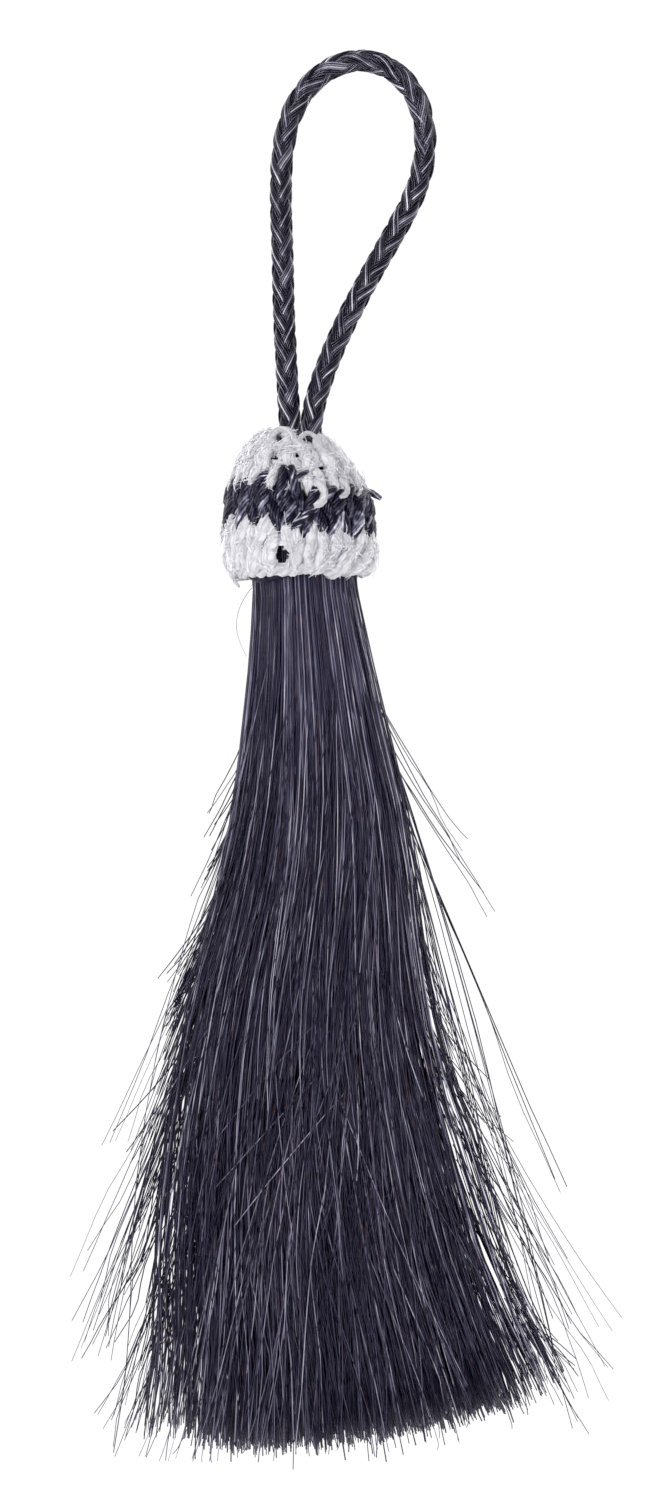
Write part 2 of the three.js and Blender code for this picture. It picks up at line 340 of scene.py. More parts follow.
cord_hairs, cord_tone = [], []
for way in (1, -1):
    for number in range(STRANDS_EACH_WAY):
        lines, lightness = strand_hairs(*braid_strand(cord_line, way, number))
        cord_hairs += lines
        cord_tone += lightness
cord_hairs = np.array(cord_hairs) * MM
cord_radii = np.full(cord_hairs.shape[:2], CORD_HAIR_RADIUS * MM)
cord = tubes("braided_cord", cord_hairs, cord_radii, CORD_HAIR_SIDES, np.array(cord_tone))
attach(cord, BODY)
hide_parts("hanging_loop")
print("cord hairs", len(cord_hairs), "triangles", triangles(cord))

# %% [markdown]
# The skirt has a round, tight section at the neck and a wide, flat one at the cut. A table gives its
# size at a few heights, as in the frame: its left and right side, how high its widest line lies above
# the table, which is its spine, and how high its top, which is its crown. A hair keeps nearly the same
# place within the section on its way down, so it is given by two shares: how far across it is, and how
# far up. Then the table turns the shares into a place at any height. Its highest rows are inside the
# cap, where the hairs begin.

# %% The skirt's sections
SKIRT = np.array(
    [
        # height, left, right, spine, crown
        (60.0, -10.0, -2.9, 8.0, 10.8),
        (58.0, -10.8, -1.8, 8.0, 11.6),
        (55.0, -12.0, -0.6, 8.0, 12.9),
        (49.8, -12.7, 0.9, 8.0, 13.7),
        (43.3, -12.1, 1.0, 8.0, 13.8),
        (41.4, -11.9, 1.1, 7.8, 13.8),
        (36.4, -12.2, 2.2, 6.9, 13.1),
        (30.0, -13.0, 3.8, 5.6, 12.1),
        (23.4, -13.8, 5.3, 4.6, 11.3),
        (16.4, -14.7, 7.0, 4.0, 10.7),
        (9.4, -16.0, 8.2, 3.5, 10.1),
        (1.9, -17.9, 9.1, 3.1, 9.6),
        (-5.6, -19.9, 10.1, 2.8, 9.2),
        (-13.6, -21.6, 11.8, 2.5, 8.7),
        (-21.6, -22.9, 14.0, 2.3, 8.3),
        (-29.6, -23.8, 16.4, 2.1, 7.9),
        (-37.6, -24.2, 18.8, 1.9, 7.6),
        (-44.6, -24.2, 21.6, 1.8, 7.4),
        (-53.0, -24.6, 25.4, 1.7, 7.2),
        (-62.0, -25.8, 29.0, 1.6, 7.0),
    ]
)
CUT_LINE = np.array(
    [
        # x, height
        (-26.0, -58.5),
        (-21.6, -59.2),
        (-16.8, -60.1),
        (-13.2, -60.5),
        (-4.8, -59.6),
        (4.8, -58.7),
        (9.6, -57.8),
        (14.4, -56.5),
        (19.2, -55.4),
        (24.0, -54.0),
        (28.0, -51.8),
    ]
)
LEFT, RIGHT, SPINE, CROWN = range(1, 5)
HAIR_START = 59.3
HAIR_RADIUS = 0.095


def section_at(height, column):
    """A column of the skirt's table at any height."""
    return np.interp(-height, -SKIRT[:, 0], SKIRT[:, column])


def whole_section(height):
    """The skirt's left side, right side, spine and crown at any height."""
    return [section_at(height, column) for column in (LEFT, RIGHT, SPINE, CROWN)]


def in_skirt(across, up, height):
    """Places in the skirt. across and up run from -1 to 1, and the underside is pressed flat."""
    left, right, spine, crown = whole_section(height)
    x = (left + right) / 2 + across * ((right - left) / 2 - HAIR_RADIUS)
    over = spine + up * (crown - spine - HAIR_RADIUS)
    under = spine + up * np.minimum(crown - spine, spine - HAIR_RADIUS)
    return np.stack([x, height, np.where(up > 0, over, under)], axis=-1)


def cut_height(across):
    """The height of the cut below a share of the skirt's width, found in three steps."""
    height = np.full(np.shape(across), CUT_LINE[:, 1].mean())
    for _ in range(3):
        left, right = section_at(height, LEFT), section_at(height, RIGHT)
        x = (left + right) / 2 + across * (right - left) / 2
        height = np.interp(x, CUT_LINE[:, 0], CUT_LINE[:, 1])
    return height


print("skirt from", SKIRT[0, 0], "to", SKIRT[-1, 0])

# %% [markdown]
# Hair is not a brush of wires. Each hair drifts a little from its place, the hairs of a lock lean
# together, and small waves grow towards the free end. Hairs near the skin drift most, so that they
# cross each other at shallow angles, and those on the front lean a little to the left. At the sides,
# where the skirt is thin, hairs gather in small tufts and the table shows between them. The cut is
# uneven too: some hairs hang out of it and many end early, most often at the far left. The hairs are
# grown in layers, from the middle of the bundle outwards, and a layer is one piece, which keeps each
# mesh small enough to handle.

# %% Grow the skirt's hairs
HAIR_POINTS = 14
WAVE_KNOTS = 6
LOCKS = 90
LOCK_REACH = (0.1, 1)
LOCK_LEAN = 0.08
LEAN_LEFT = 0.05
UP_DRIFT = 0.7
# How much of its distance from the middle a hair keeps at the cut, and how far up or down it may end
KEPT_LEFT, KEPT_RIGHT, KEPT_UP = 0.83, 0.925, 0.83
HIGHEST = 1.02
# From how far out hairs are drawn back towards the middle, and how softly
SOFT_FROM, SOFT_BY = 0.90, 0.16
# The tufts: from how far out, over what distance they form, how wide they are and how tight
TUFT_FROM, TUFT_OVER, TUFT_WIDTH, TUFT_PULL = 0.66, 0.2, 0.065, 0.95
# The cut: how unevenly hairs and locks end, then how often and how far a hair is long, ragged or short
UNEVEN_HAIR, UNEVEN_LOCK = 0.6, 0.5
LONG_CHANCE, LONG_BY = 0.08, 0.9
RAGGED_SIDE, RAGGED_THERE, RAGGED_ELSEWHERE, RAGGED_BY = -0.6, 0.7, 0.3, 1.6
SHORT_BY = (2, 45)
# Heights, and how light a hair is there: darker at the neck, where its painted highlight is dimmed
TONE_BY_HEIGHT = (20.0, 36.0), (1.0, 0.94)
THICKNESS = (0.75, 1.15)
RADII_OFF_TABLE = 1.2
# Inner layers have a lower lightest tone, so their painted highlights are dimmer deep in the bundle
LAYERS = [
    # piece, hairs, band, drift, lock pull, share cut short, wander, bend, radii, lightest tone, sides
    ("skirt_inner_hair", 1450, (0.0, 0.8), 0.13, 0.15, 0.05, 0.03, (1.2, 2.8), (0.1, 0.09), 0.7, 3),
    ("skirt_middle_hair", 1350, (0.6, 0.95), 0.14, 0.2, 0.05, 0.035, (1.2, 2.8), (0.095, 0.085), 0.9, 3),
    ("skirt_outer_hair", 760, (0.9, 1.0), 0.17, 0.12, 0.1, 0.035, (1.2, 2.8), (0.09, 0.08), 1.0, 4),
    ("skirt_crossing_hair", 240, (0.85, 1.0), 0.4, 0.0, 0.3, 0.06, (0.9, 2.0), (0.085, 0.06), 1.0, 4),
]


def softly_inside(across, up):
    """Draws shares that come near the edge of the round section back, the more the further out."""
    reach = np.hypot(across, up)
    beyond = np.maximum(reach - SOFT_FROM, 0)
    kept = np.minimum(reach, SOFT_FROM) + SOFT_BY * (1 - np.exp(-beyond / SOFT_BY))
    share = kept / np.maximum(reach, TINY)
    return across * share, up * share


def grow(count, band, drift, lock_pull, shorter, wander, bend):
    """Lines for hairs that start in a band of the section, from its middle (0) to its skin (1)."""
    angle = np.arccos(rng.uniform(-1, 1, count)) * rng.choice((-1, 1), count)
    reach = np.sqrt(rng.uniform(band[0] ** 2, band[1] ** 2, count))
    across, up = reach * np.cos(angle), reach * np.sin(angle)
    lock_angle = rng.uniform(0, 2 * np.pi, LOCKS)
    lock_reach = np.sqrt(rng.uniform(*LOCK_REACH, LOCKS))
    locks = np.stack([lock_reach * np.cos(lock_angle), lock_reach * np.sin(lock_angle)], axis=1)
    apart = np.hypot(across[:, None] - locks[None, :, 0], up[:, None] - locks[None, :, 1])
    mine = np.argmin(apart, axis=1)
    lean = rng.normal(0, LOCK_LEAN, (LOCKS, 2))[mine]
    kept = np.where(across < 0, KEPT_LEFT, KEPT_RIGHT)
    end_across = across * kept + (locks[mine, 0] - across) * lock_pull + lean[:, 0]
    end_across -= LEAN_LEFT * np.maximum(up, 0)
    end_up = up * KEPT_UP + (locks[mine, 1] - up) * lock_pull + lean[:, 1]
    end_across += rng.normal(0, drift, count)
    end_up += rng.normal(0, drift * UP_DRIFT, count)
    end_up = np.clip(end_up, -HIGHEST, HIGHEST)
    t = np.linspace(0, 1, HAIR_POINTS)[None, :]
    ease = t ** rng.uniform(*bend, (count, 1))
    a = across[:, None] * (1 - ease) + end_across[:, None] * ease
    u = up[:, None] * (1 - ease) + end_up[:, None] * ease
    a = a + smooth_noise(count, HAIR_POINTS, WAVE_KNOTS, wander) * t
    u = u + smooth_noise(count, HAIR_POINTS, WAVE_KNOTS, wander) * t
    a, u = softly_inside(a, u)
    at_side = np.clip((np.abs(a) - TUFT_FROM) / TUFT_OVER, 0, 1) * np.clip(2 * t - 0.4, 0, 1)
    a -= at_side * TUFT_PULL * TUFT_WIDTH / (2 * np.pi) * np.sin(2 * np.pi * a / TUFT_WIDTH)
    finish = cut_height(end_across)
    finish = finish + rng.normal(0, UNEVEN_HAIR, count) + rng.normal(0, UNEVEN_LOCK, LOCKS)[mine]
    finish -= np.where(rng.random(count) < LONG_CHANCE, rng.exponential(LONG_BY, count), 0)
    ragged = np.where(end_across < RAGGED_SIDE, RAGGED_THERE, RAGGED_ELSEWHERE)
    finish += np.where(rng.random(count) < ragged, rng.exponential(RAGGED_BY, count), 0)
    finish += np.where(rng.random(count) < shorter, rng.uniform(*SHORT_BY, count), 0)
    height = HAIR_START + (finish[:, None] - HAIR_START) * t
    return in_skirt(a, u, height)


def hair_piece(name, lines, root_radius, tip_radius, brightest, sides=4, stout=1.0):
    """A piece of many hairs, each tapering a little towards its tip and darker at the neck."""
    count, points = lines.shape[:2]
    thickness = rng.uniform(*THICKNESS, (count, 1)) * np.broadcast_to(stout, count)[:, None]
    taper = np.linspace(root_radius, tip_radius, points)[None, :]
    lines = lines.copy()
    lines[:, :, 2] = np.maximum(lines[:, :, 2], root_radius * RADII_OFF_TABLE)
    # Light hairs, partly painted highlights, are dimmed at the neck
    tone = rng.random((count, 1)) * brightest * np.interp(lines[:, :, 1], *TONE_BY_HEIGHT)
    piece = tubes(name, lines * MM, thickness * taper * MM, sides, tone)
    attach(piece, BODY)
    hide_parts("horsehair_skirt")
    print(name, count, "hairs", triangles(piece), "triangles")
    return piece


hair = []
for name, *growth, radii, brightest, sides in LAYERS:
    hair.append(hair_piece(name, grow(*growth), *radii, brightest, sides))

# %% [markdown]
# On top of the skirt lie hairs that belong to no layer. They come up from inside it, run across the
# others at a slant and end somewhere on the way down. Most slant to the left, the low ones more than
# the high ones, and a few short ones low down slant steeply. Their tips are what makes the surface
# look loose.

# %% Loose hairs on the front
LOOSE_HAIRS = 560
LOOSE_POINTS = 12
# At what height a hair comes up, how long it is, and how far from the middle it may start
LOOSE_TOP, LOOSE_LENGTH, LOOSE_SHARE = (-36, 38), (12, 45), 0.8
# How far a hair goes sideways for each millimetre down, and how that changes towards the right side
# and with the height
SLANT_LEFT, SLANT_SPREAD = -0.16, 0.11
RIGHT_FROM, RIGHT_SLANT = 0.3, 0.25
LOW_BELOW, LOW_SLANT, HIGH_SLANT = 5, 1.4, 0.7
STEEP_CHANCE, STEEP_BELOW, STEEP_SHARE = 0.07, -5, 0.6
STEEP_SLANT, STEEP_LENGTH = (-1.1, -0.6), (8, 18)
HALF_WIDTH_AT_CUT = 24
BOW = 1.2
FARTHEST_OUT = 1.1
LIFT, ROOT_DEPTH = (0.2, 0.6), 1.5


def loose_hairs(count):
    """Lines that lie on the skirt's upper side and cross its other hairs."""
    high = rng.uniform(*LOOSE_TOP, count)
    low = high - rng.uniform(*LOOSE_LENGTH, count)
    share = rng.uniform(-LOOSE_SHARE, LOOSE_SHARE, count)
    slant = rng.normal(SLANT_LEFT, SLANT_SPREAD, count) + RIGHT_SLANT * np.maximum(share - RIGHT_FROM, 0)
    slant *= np.where(high < LOW_BELOW, LOW_SLANT, HIGH_SLANT)
    steep = (rng.random(count) < STEEP_CHANCE) & (high < STEEP_BELOW) & (np.abs(share) < STEEP_SHARE)
    slant = np.where(steep, rng.uniform(*STEEP_SLANT, count), slant)
    low = np.where(steep, high - rng.uniform(*STEEP_LENGTH, count), low)
    t = np.linspace(0, 1, LOOSE_POINTS)[None, :]
    y = high[:, None] + (low - high)[:, None] * t
    cut = np.interp(share * HALF_WIDTH_AT_CUT, CUT_LINE[:, 0], CUT_LINE[:, 1])
    y = np.maximum(y, cut[:, None] + 1.0 - 3.0 * t)
    left, right, spine, crown = whole_section(y)
    run = high[:, None] - y
    bow = rng.normal(0, BOW, (count, 1)) * t * (1 - t)
    across = share[:, None] + (slant[:, None] * run + bow) / ((right - left) / 2)
    across = np.clip(across, -FARTHEST_OUT, FARTHEST_OUT)
    x = (left + right) / 2 + across * (right - left) / 2
    rise = np.sqrt(np.maximum(1 - across**2, 0))
    z = spine + (crown - spine) * rise + rng.uniform(*LIFT, (count, 1)) - ROOT_DEPTH * (1 - t) ** 3
    return np.stack([x, y, z], axis=2)


hair.append(hair_piece("skirt_loose_hair", loose_hairs(LOOSE_HAIRS), 0.07, 0.045, brightest=0.97))

# %% [markdown]
# At the sides some hairs leave the bundle. They spring out in loose groups, thin out and end in fine
# natural tips. A table places each group: where it leaves, the point it bends towards and where its
# tips lie. Each hair of a group gets its own small change of these, and starts deep in the skirt.

# %% Stray hairs
STRAYS = [
    # start, bend, tip, hairs, spread, thickness
    ((-12.0, 20.0), (-17.5, -2.0), (-29.3, -24.8), 3, 0.8, 0.9),
    ((-13.0, 8.0), (-19.0, -8.0), (-27.9, -25.1), 2, 1.0, 0.9),
    ((-15.0, 2.0), (-22.0, -18.0), (-31.0, -38.9), 3, 1.0, 0.9),
    ((-16.5, -8.0), (-24.6, -26.5), (-30.3, -45.5), 9, 1.8, 1.2),
    ((-17.0, -10.0), (-26.0, -34.0), (-33.3, -50.8), 2, 0.6, 0.9),
    ((-17.5, -17.0), (-25.6, -37.0), (-30.6, -49.0), 8, 1.5, 1.2),
    ((-18.0, -27.0), (-25.0, -47.0), (-28.2, -58.0), 7, 1.4, 1.1),
    ((-19.0, -36.0), (-24.5, -50.0), (-26.3, -58.8), 8, 1.2, 1.1),
    ((0.5, 36.0), (9.9, 7.0), (24.6, -54.2), 7, 1.8, 1.2),
    ((1.0, 34.0), (11.9, 6.0), (24.2, -49.0), 3, 1.2, 1.3),
    ((1.0, 34.0), (8.0, 17.0), (13.3, 9.9), 3, 0.9, 1.1),
    ((1.5, 29.0), (9.0, 14.0), (17.6, 3.6), 3, 0.8, 1.2),
    ((2.0, 26.0), (11.8, 2.0), (25.2, -29.7), 3, 0.8, 1.3),
    ((5.0, 10.0), (14.4, -16.0), (24.6, -38.9), 4, 1.2, 1.1),
    ((6.5, 0.0), (18.0, -26.0), (31.6, -46.2), 3, 0.8, 0.9),
    ((8.5, -8.0), (17.9, -30.0), (25.8, -45.6), 5, 1.4, 1.2),
    ((11.5, -20.0), (22.0, -40.0), (30.8, -53.6), 5, 1.4, 1.0),
    ((14.0, -32.0), (21.5, -46.0), (26.6, -54.6), 7, 1.1, 1.2),
    ((-12.3, 42.2), (-15.2, 38.5), (-12.3, 34.2), 1, 0.1, 0.6),
]
STRAY_POINTS = 14
# How far the starts and bends of a group differ, and how far inside the skirt it starts
START_SPREAD, BEND_SPREAD, START_INSIDE = 0.6, 0.9, 2.4
# How high strays start above the spine, and how high their tips lie above the table
START_RISE, TIP_RISE = (-0.5, 2.0), (0.1, 2.6)


def stray_lines(start, bend, tip, hairs, spread):
    """Lines of one group of strays, lying near the table at their tips."""
    t = np.linspace(0, 1, STRAY_POINTS)[None, :, None]
    loose = min(spread, 1)
    a = np.array(start) + rng.normal(0, START_SPREAD, (hairs, 2)) * loose
    inside = START_INSIDE * loose
    a[:, 0] = np.clip(a[:, 0], section_at(a[:, 1], LEFT) + inside, section_at(a[:, 1], RIGHT) - inside)
    b = np.array(bend) + rng.normal(0, spread * BEND_SPREAD, (hairs, 2))
    c = np.array(tip) + rng.normal(0, spread, (hairs, 2))
    flat = (1 - t) ** 2 * a[:, None] + 2 * t * (1 - t) * b[:, None] + t**2 * c[:, None]
    flat[:, :, 0] += smooth_noise(hairs, STRAY_POINTS, knots=6, spread=0.4) * loose * t[:, :, 0]
    start_height = section_at(a[:, 1], SPINE) + rng.uniform(*START_RISE, hairs)
    tip_height = rng.uniform(*TIP_RISE, hairs)
    t = t[:, :, 0]
    height = start_height[:, None] * (1 - t) ** 1.5 + tip_height[:, None] * t
    height += smooth_noise(hairs, STRAY_POINTS, knots=5, spread=0.12) * t
    return np.concatenate([flat, height[:, :, None]], axis=2)


strays = np.concatenate([stray_lines(*row[:5]) for row in STRAYS])
stray_stout = np.concatenate([np.full(row[3], row[5]) for row in STRAYS])
hair.append(hair_piece("skirt_stray_hair", strays, 0.075, 0.04, brightest=0.8, stout=stray_stout))

# %% [markdown]
# Between those groups the sides are feathered all the way down: small clumps of tips stand a
# millimetre or three clear of the bundle. They are short curves that leave the edge at a slant, and the
# hairs of a clump cross each other.

# %% Feathered sides
FEATHERS = [
    # side, its column in the skirt's table, clumps, hairs in each
    (-1, LEFT, 17, 5),
    (1, RIGHT, 8, 4),
]
FEATHER_HIGH, FEATHER_LOW, CROWDED_LOW = 26.0, -44.0, 0.75
CLUMP_HEIGHT, FEATHER_LENGTH, LENGTH_SPREAD = 1.6, (9, 18), (0.7, 1.2)
# How far the tips stand clear of the edge, and how deep inside it the hairs start
CLEAR_MEAN, CLEAR_LEAST, CLEAR_SPREAD = 1.1, 0.3, (0.3, 1.3)
FEATHER_ROOT, FEATHER_BEND = (1.0, 3.0), (1.2, 2.4)
ROOT_LEVEL, TIP_LEVEL = (-0.5, 0.55), -0.1


def feather(side, column, clumps, hairs_each):
    """Short curves that leave the left (-1) or right (1) edge of the skirt in clumps."""
    hairs = clumps * hairs_each
    height = FEATHER_HIGH + (FEATHER_LOW - FEATHER_HIGH) * rng.random(clumps) ** CROWDED_LOW
    height = np.repeat(height, hairs_each) + rng.normal(0, CLUMP_HEIGHT, hairs)
    length = np.repeat(rng.uniform(*FEATHER_LENGTH, clumps), hairs_each)
    length *= rng.uniform(*LENGTH_SPREAD, hairs)
    clear = np.repeat(rng.exponential(CLEAR_MEAN, clumps) + CLEAR_LEAST, hairs_each)
    clear *= rng.uniform(*CLEAR_SPREAD, hairs)
    t = np.linspace(0, 1, STRAY_POINTS)[None, :]
    y = height[:, None] - length[:, None] * t
    away = -rng.uniform(*FEATHER_ROOT, (hairs, 1)) * (1 - t)
    away += clear[:, None] * t ** rng.uniform(*FEATHER_BEND, (hairs, 1))
    wave = smooth_noise(hairs, STRAY_POINTS, knots=5, spread=0.28)
    x = section_at(y, column) + side * away + wave * t
    spine, crown = section_at(y, SPINE), section_at(y, CROWN)
    level = rng.uniform(*ROOT_LEVEL, (hairs, 1)) * (1 - t) + TIP_LEVEL * t
    z = spine + np.where(level > 0, level * (crown - spine), level * spine)
    return np.stack([x, y, z], axis=2)


feathers = np.concatenate([feather(*row) for row in FEATHERS])
hair.append(hair_piece("skirt_feather_hair", feathers, 0.09, 0.055, brightest=0.8))

# %% [markdown]
# A few hairs are wound once round the neck, just inside the cap. They show only at the lower left,
# where the winding slips out from under the rim.

# %% The winding round the neck
WINDING_POINTS = 60
WINDING_HAIRS = 9
WINDING_HEIGHT, WINDING_STEP = 44.6, 0.10
# How far the first hair slips down, how much more each next one does, and where round the neck
SLIP, SLIP_STEP, SLIP_TURN = 1.8, 0.05, math.radians(136)
OFF_NECK = 0.12


def winding():
    """Closed lines round the neck that slip down at the front left."""
    turn = np.linspace(0, 2 * np.pi, WINDING_POINTS)
    slipping = np.maximum(np.cos(turn - SLIP_TURN), 0) ** 3
    lines = []
    for k in range(WINDING_HAIRS):
        y = WINDING_HEIGHT + WINDING_STEP * k - (SLIP + SLIP_STEP * k) * slipping
        left, right, spine, crown = whole_section(y)
        x = (left + right) / 2 + ((right - left) / 2 + OFF_NECK) * np.cos(turn)
        z = spine + (crown - spine + OFF_NECK) * np.sin(turn)
        lines.append(np.stack([x, y, z], axis=1))
    return np.array(lines)


hair.append(hair_piece("neck_winding", winding(), 0.085, 0.085, brightest=1.0))

# %% [markdown]
# The cap is crocheted round the head of the bundle, from the cord down. Seen from outside, every stitch
# is a pair of yarn legs that spread downwards from one point, and the point is pulled into the gap
# between the legs of the stitch above. That is why the black band has teeth: its points rise into the
# white above it, and between its feet the white points of the next round come up. So the stitches are
# placed on the cap's outline by three numbers: how far round, how high, and how deep under the surface.

# %% The cap's outline
CAP = np.array(
    [
        # height, left, right, thickness
        (42.6, -13.9, 1.6, 14.4),
        (43.3, -14.4, 2.2, 15.0),
        (44.6, -14.8, 2.8, 15.6),
        (47.2, -15.2, 3.2, 16.2),
        (49.8, -15.1, 3.0, 16.4),
        (52.4, -14.9, 2.5, 16.0),
        (55.0, -14.4, 1.4, 15.0),
        (57.2, -13.6, 0.0, 13.4),
        (59.1, -12.5, -1.6, 11.0),
        (60.1, -11.6, -2.8, 9.2),
        (60.7, -10.8, -3.5, 7.6),
        (61.0, -10.0, -4.0, 6.2),
    ]
)
CAP_MIDDLE = 8.0
ROUND_GAP = 2.6
LEAN_STEP = 0.4


def cap_size(height):
    """The cap's left side, right side and thickness at any height."""
    return tuple(np.interp(height, CAP[:, 0], CAP[:, k]) for k in (1, 2, 3))


def on_cap(turn, height, depth, clearance=0.0):
    """Places under the cap's outline. A turn of 0 is its right side and 90 degrees is its top. Where
    the outline leans, depth is measured square to it."""
    left, right, thick = cap_size(height)
    slimmer = (cap_size(height - LEAN_STEP)[2] - cap_size(height + LEAN_STEP)[2]) / 2
    lean = np.arctan2(slimmer, 2 * LEAN_STEP)
    x = (left + right) / 2 + ((right - left) / 2 - depth * np.cos(lean)) * np.cos(turn)
    z = np.maximum(CAP_MIDDLE + (thick / 2 - depth * np.cos(lean)) * np.sin(turn), clearance)
    y = height - depth * np.sin(lean)
    return np.stack(np.broadcast_arrays(x, y, z), axis=-1)


print("cap from", CAP[0, 0], "to", CAP[-1, 0])

# %% [markdown]
# Yarn is several plies twisted round each other. One tube makes the inside of it and thinner ones are
# wound round that, so that it has the grooves of real yarn. The white cotton has few, thick plies that
# nearly merge. The black yarn has many fine, smooth ones, and each of them catches the light by itself.
# A recipe says how far out the plies lie, how thick they and the core are, all in shares of the yarn's
# radius, and how even their tones are.

# %% A helper for yarn
SOFT = dict(plies=6, out=0.53, thick=0.44, core=0.89, even=0.6)
# The black yarn's ply tones are uneven, and its few light plies are painted highlights
CRISP = dict(plies=10, out=0.76, thick=0.23, core=0.80, even=0.1)
CORE_SIDES, PLY_SIDES = 7, 4
YARN_SIDE = (0.2, 0.1, 1.0)
LEG_TURNS = 0.7


def yarn(name, paths, radius, tone, make, turns=LEG_TURNS):
    """Twisted yarn along each path, made by the recipe SOFT or CRISP."""
    count, points = paths.shape[:2]
    directions = along_lines(paths)
    across = transported(directions, YARN_SIDE)
    over = np.cross(directions, across)
    run = np.linspace(0, 1, points)
    start = rng.random((count, 1))
    plies = []
    for ply in range(make["plies"]):
        angle = 2 * np.pi * (ply / make["plies"] + turns * run[None, :] + start)
        around = np.cos(angle)[..., None] * across + np.sin(angle)[..., None] * over
        plies.append(paths + around * radius[:, :, None] * make["out"])
    ply_radius = np.tile(radius * make["thick"], (make["plies"], 1))
    ply_tone = np.tile(tone, make["plies"]) * make["even"]
    ply_tone += rng.random(count * make["plies"]) * (1 - make["even"])
    core_radius = radius * make["core"]
    core = tubes(name + "_core", paths * MM, core_radius * MM, CORE_SIDES, tone * make["even"])
    wound = tubes(name + "_plies", np.concatenate(plies) * MM, ply_radius * MM, PLY_SIDES, ply_tone)
    return joined(name, [core, wound])


def joined(name, pieces):
    """Joins pieces into one mesh and names it."""
    whole = bmesh.new()
    for piece in pieces:
        whole.from_mesh(piece.data)
        bpy.data.meshes.remove(piece.data)
    mesh = bpy.data.meshes.new(name)
    whole.to_mesh(mesh)
    whole.free()
    return shown(name, mesh)


def as_cap(piece):
    """Makes a piece part of the cap."""
    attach(piece, BODY)
    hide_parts("crocheted_cap")
    print(piece.name, triangles(piece), "triangles")
    return piece


print("yarn helper ready")

# %% [markdown]
# The front stitches are placed as the photograph shows them, in degrees round the cap, and most
# surely in the two black rounds. Those at the back are spread evenly over what is left of each round.
# All stitches lean a little to the right, and the left leg of each lies over the right one. The rounds
# above the first slope down to the right, and the stitches at the left side reach higher. Hand work is
# uneven too: each stitch gets its own lift, reach and lean, and where the fabric gapes, the legs on
# both sides bend round the gap.

# %% Place the stitches
ROUNDS = [
    # height, stitches, colour, front stitches in degrees
    (45.3, 18, "white", (166, 146, 126, 108, 88, 68, 46, 26)),
    (47.5, 18, "white", (157, 136, 116, 97, 77, 55, 34, 14)),
    (49.8, 18, "black", (160, 137, 113, 94, 79, 56, 34, 12)),
    (52.4, 18, "black", (158, 137, 116, 97, 72, 48, 27, 8)),
    (55.0, 17, "white", (165, 146, 127, 107, 84, 60, 38, 18)),
    (57.2, 15, "white", (159, 136, 113, 90, 68, 46, 24)),
    (59.1, 12, "white", (160, 130, 100, 70, 40, 12)),
]
GAPS = [
    # x, height, half width, half height
    (-8.0, 45.95, 0.80, 0.72),
    (-8.9, 57.5, 0.55, 0.24),
    (-6.3, 57.7, 0.20, 0.35),
    (-3.4, 56.2, 0.45, 0.22),
    (-8.1, 59.9, 0.60, 0.40),
    (-5.1, 59.8, 0.60, 0.40),
    (-6.4, 60.9, 0.45, 0.30),
]
LEG_POINTS = 11
LEG_RADIUS = 0.78
TOP_LIMIT = 60.9
# A leg from its top to its foot: how far along it is, its height in rounds, how far it spreads towards
# the next stitch, how deep it lies in millimetres, and how thick it is
STEPS = np.array([0.0, 0.12, 0.3, 0.5, 0.7, 0.88, 1.0])
LEG_HEIGHT = np.array([1.05, 0.95, 0.62, 0.2, -0.22, -0.52, -0.62])
LEG_SPREAD = np.array([0.02, 0.08, 0.14, 0.21, 0.31, 0.40, 0.43])
LEG_DEPTH = np.array([1.9, 1.15, 0.82, 0.66, 0.68, 1.05, 1.9])
LEG_FAT = np.array([0.7, 0.95, 1.08, 1.1, 1.02, 0.9, 0.7])
SLANT = 0.10
NEAR_LEG = 0.12
ROUND_TILT = 0.55
LEFT_REACH = 0.3
# How much the stitches and legs differ
LEG_LIFT, LEG_REACH, LEG_LEAN = 0.2, (0.85, 1.15), 0.06
LEG_UNEVEN, LEG_THICKNESS = 0.08, (0.9, 1.1)
FARTHEST_BEND = 2.5


def stitch_turns(count, front):
    """Where the stitches of a round stand: the given ones, and the rest evenly over the gap."""
    front = sorted(front)
    rest = count - len(front)
    gap = 360 - front[-1] + front[0]
    others = [front[-1] + gap * (k + 1) / (rest + 1) for k in range(rest)]
    return np.radians(front + others)


def bent_round_gaps(path, radius):
    """Moves a leg sideways where it would cover a gap."""
    for x, y, half_wide, half_high in GAPS:
        nearest = np.argmin(np.abs(path[:, 1] - y))
        side = 1 if path[nearest, 0] > x else -1
        near = np.exp(-(((path[:, 1] - y) / (half_high + radius)) ** 2))
        shift = np.maximum(half_wide + radius - (path[:, 0] - x) * side, 0) * near
        shift = np.where((shift < FARTHEST_BEND) & (path[nearest, 2] > CAP_MIDDLE), shift, 0)
        path[:, 0] += side * shift
    return path


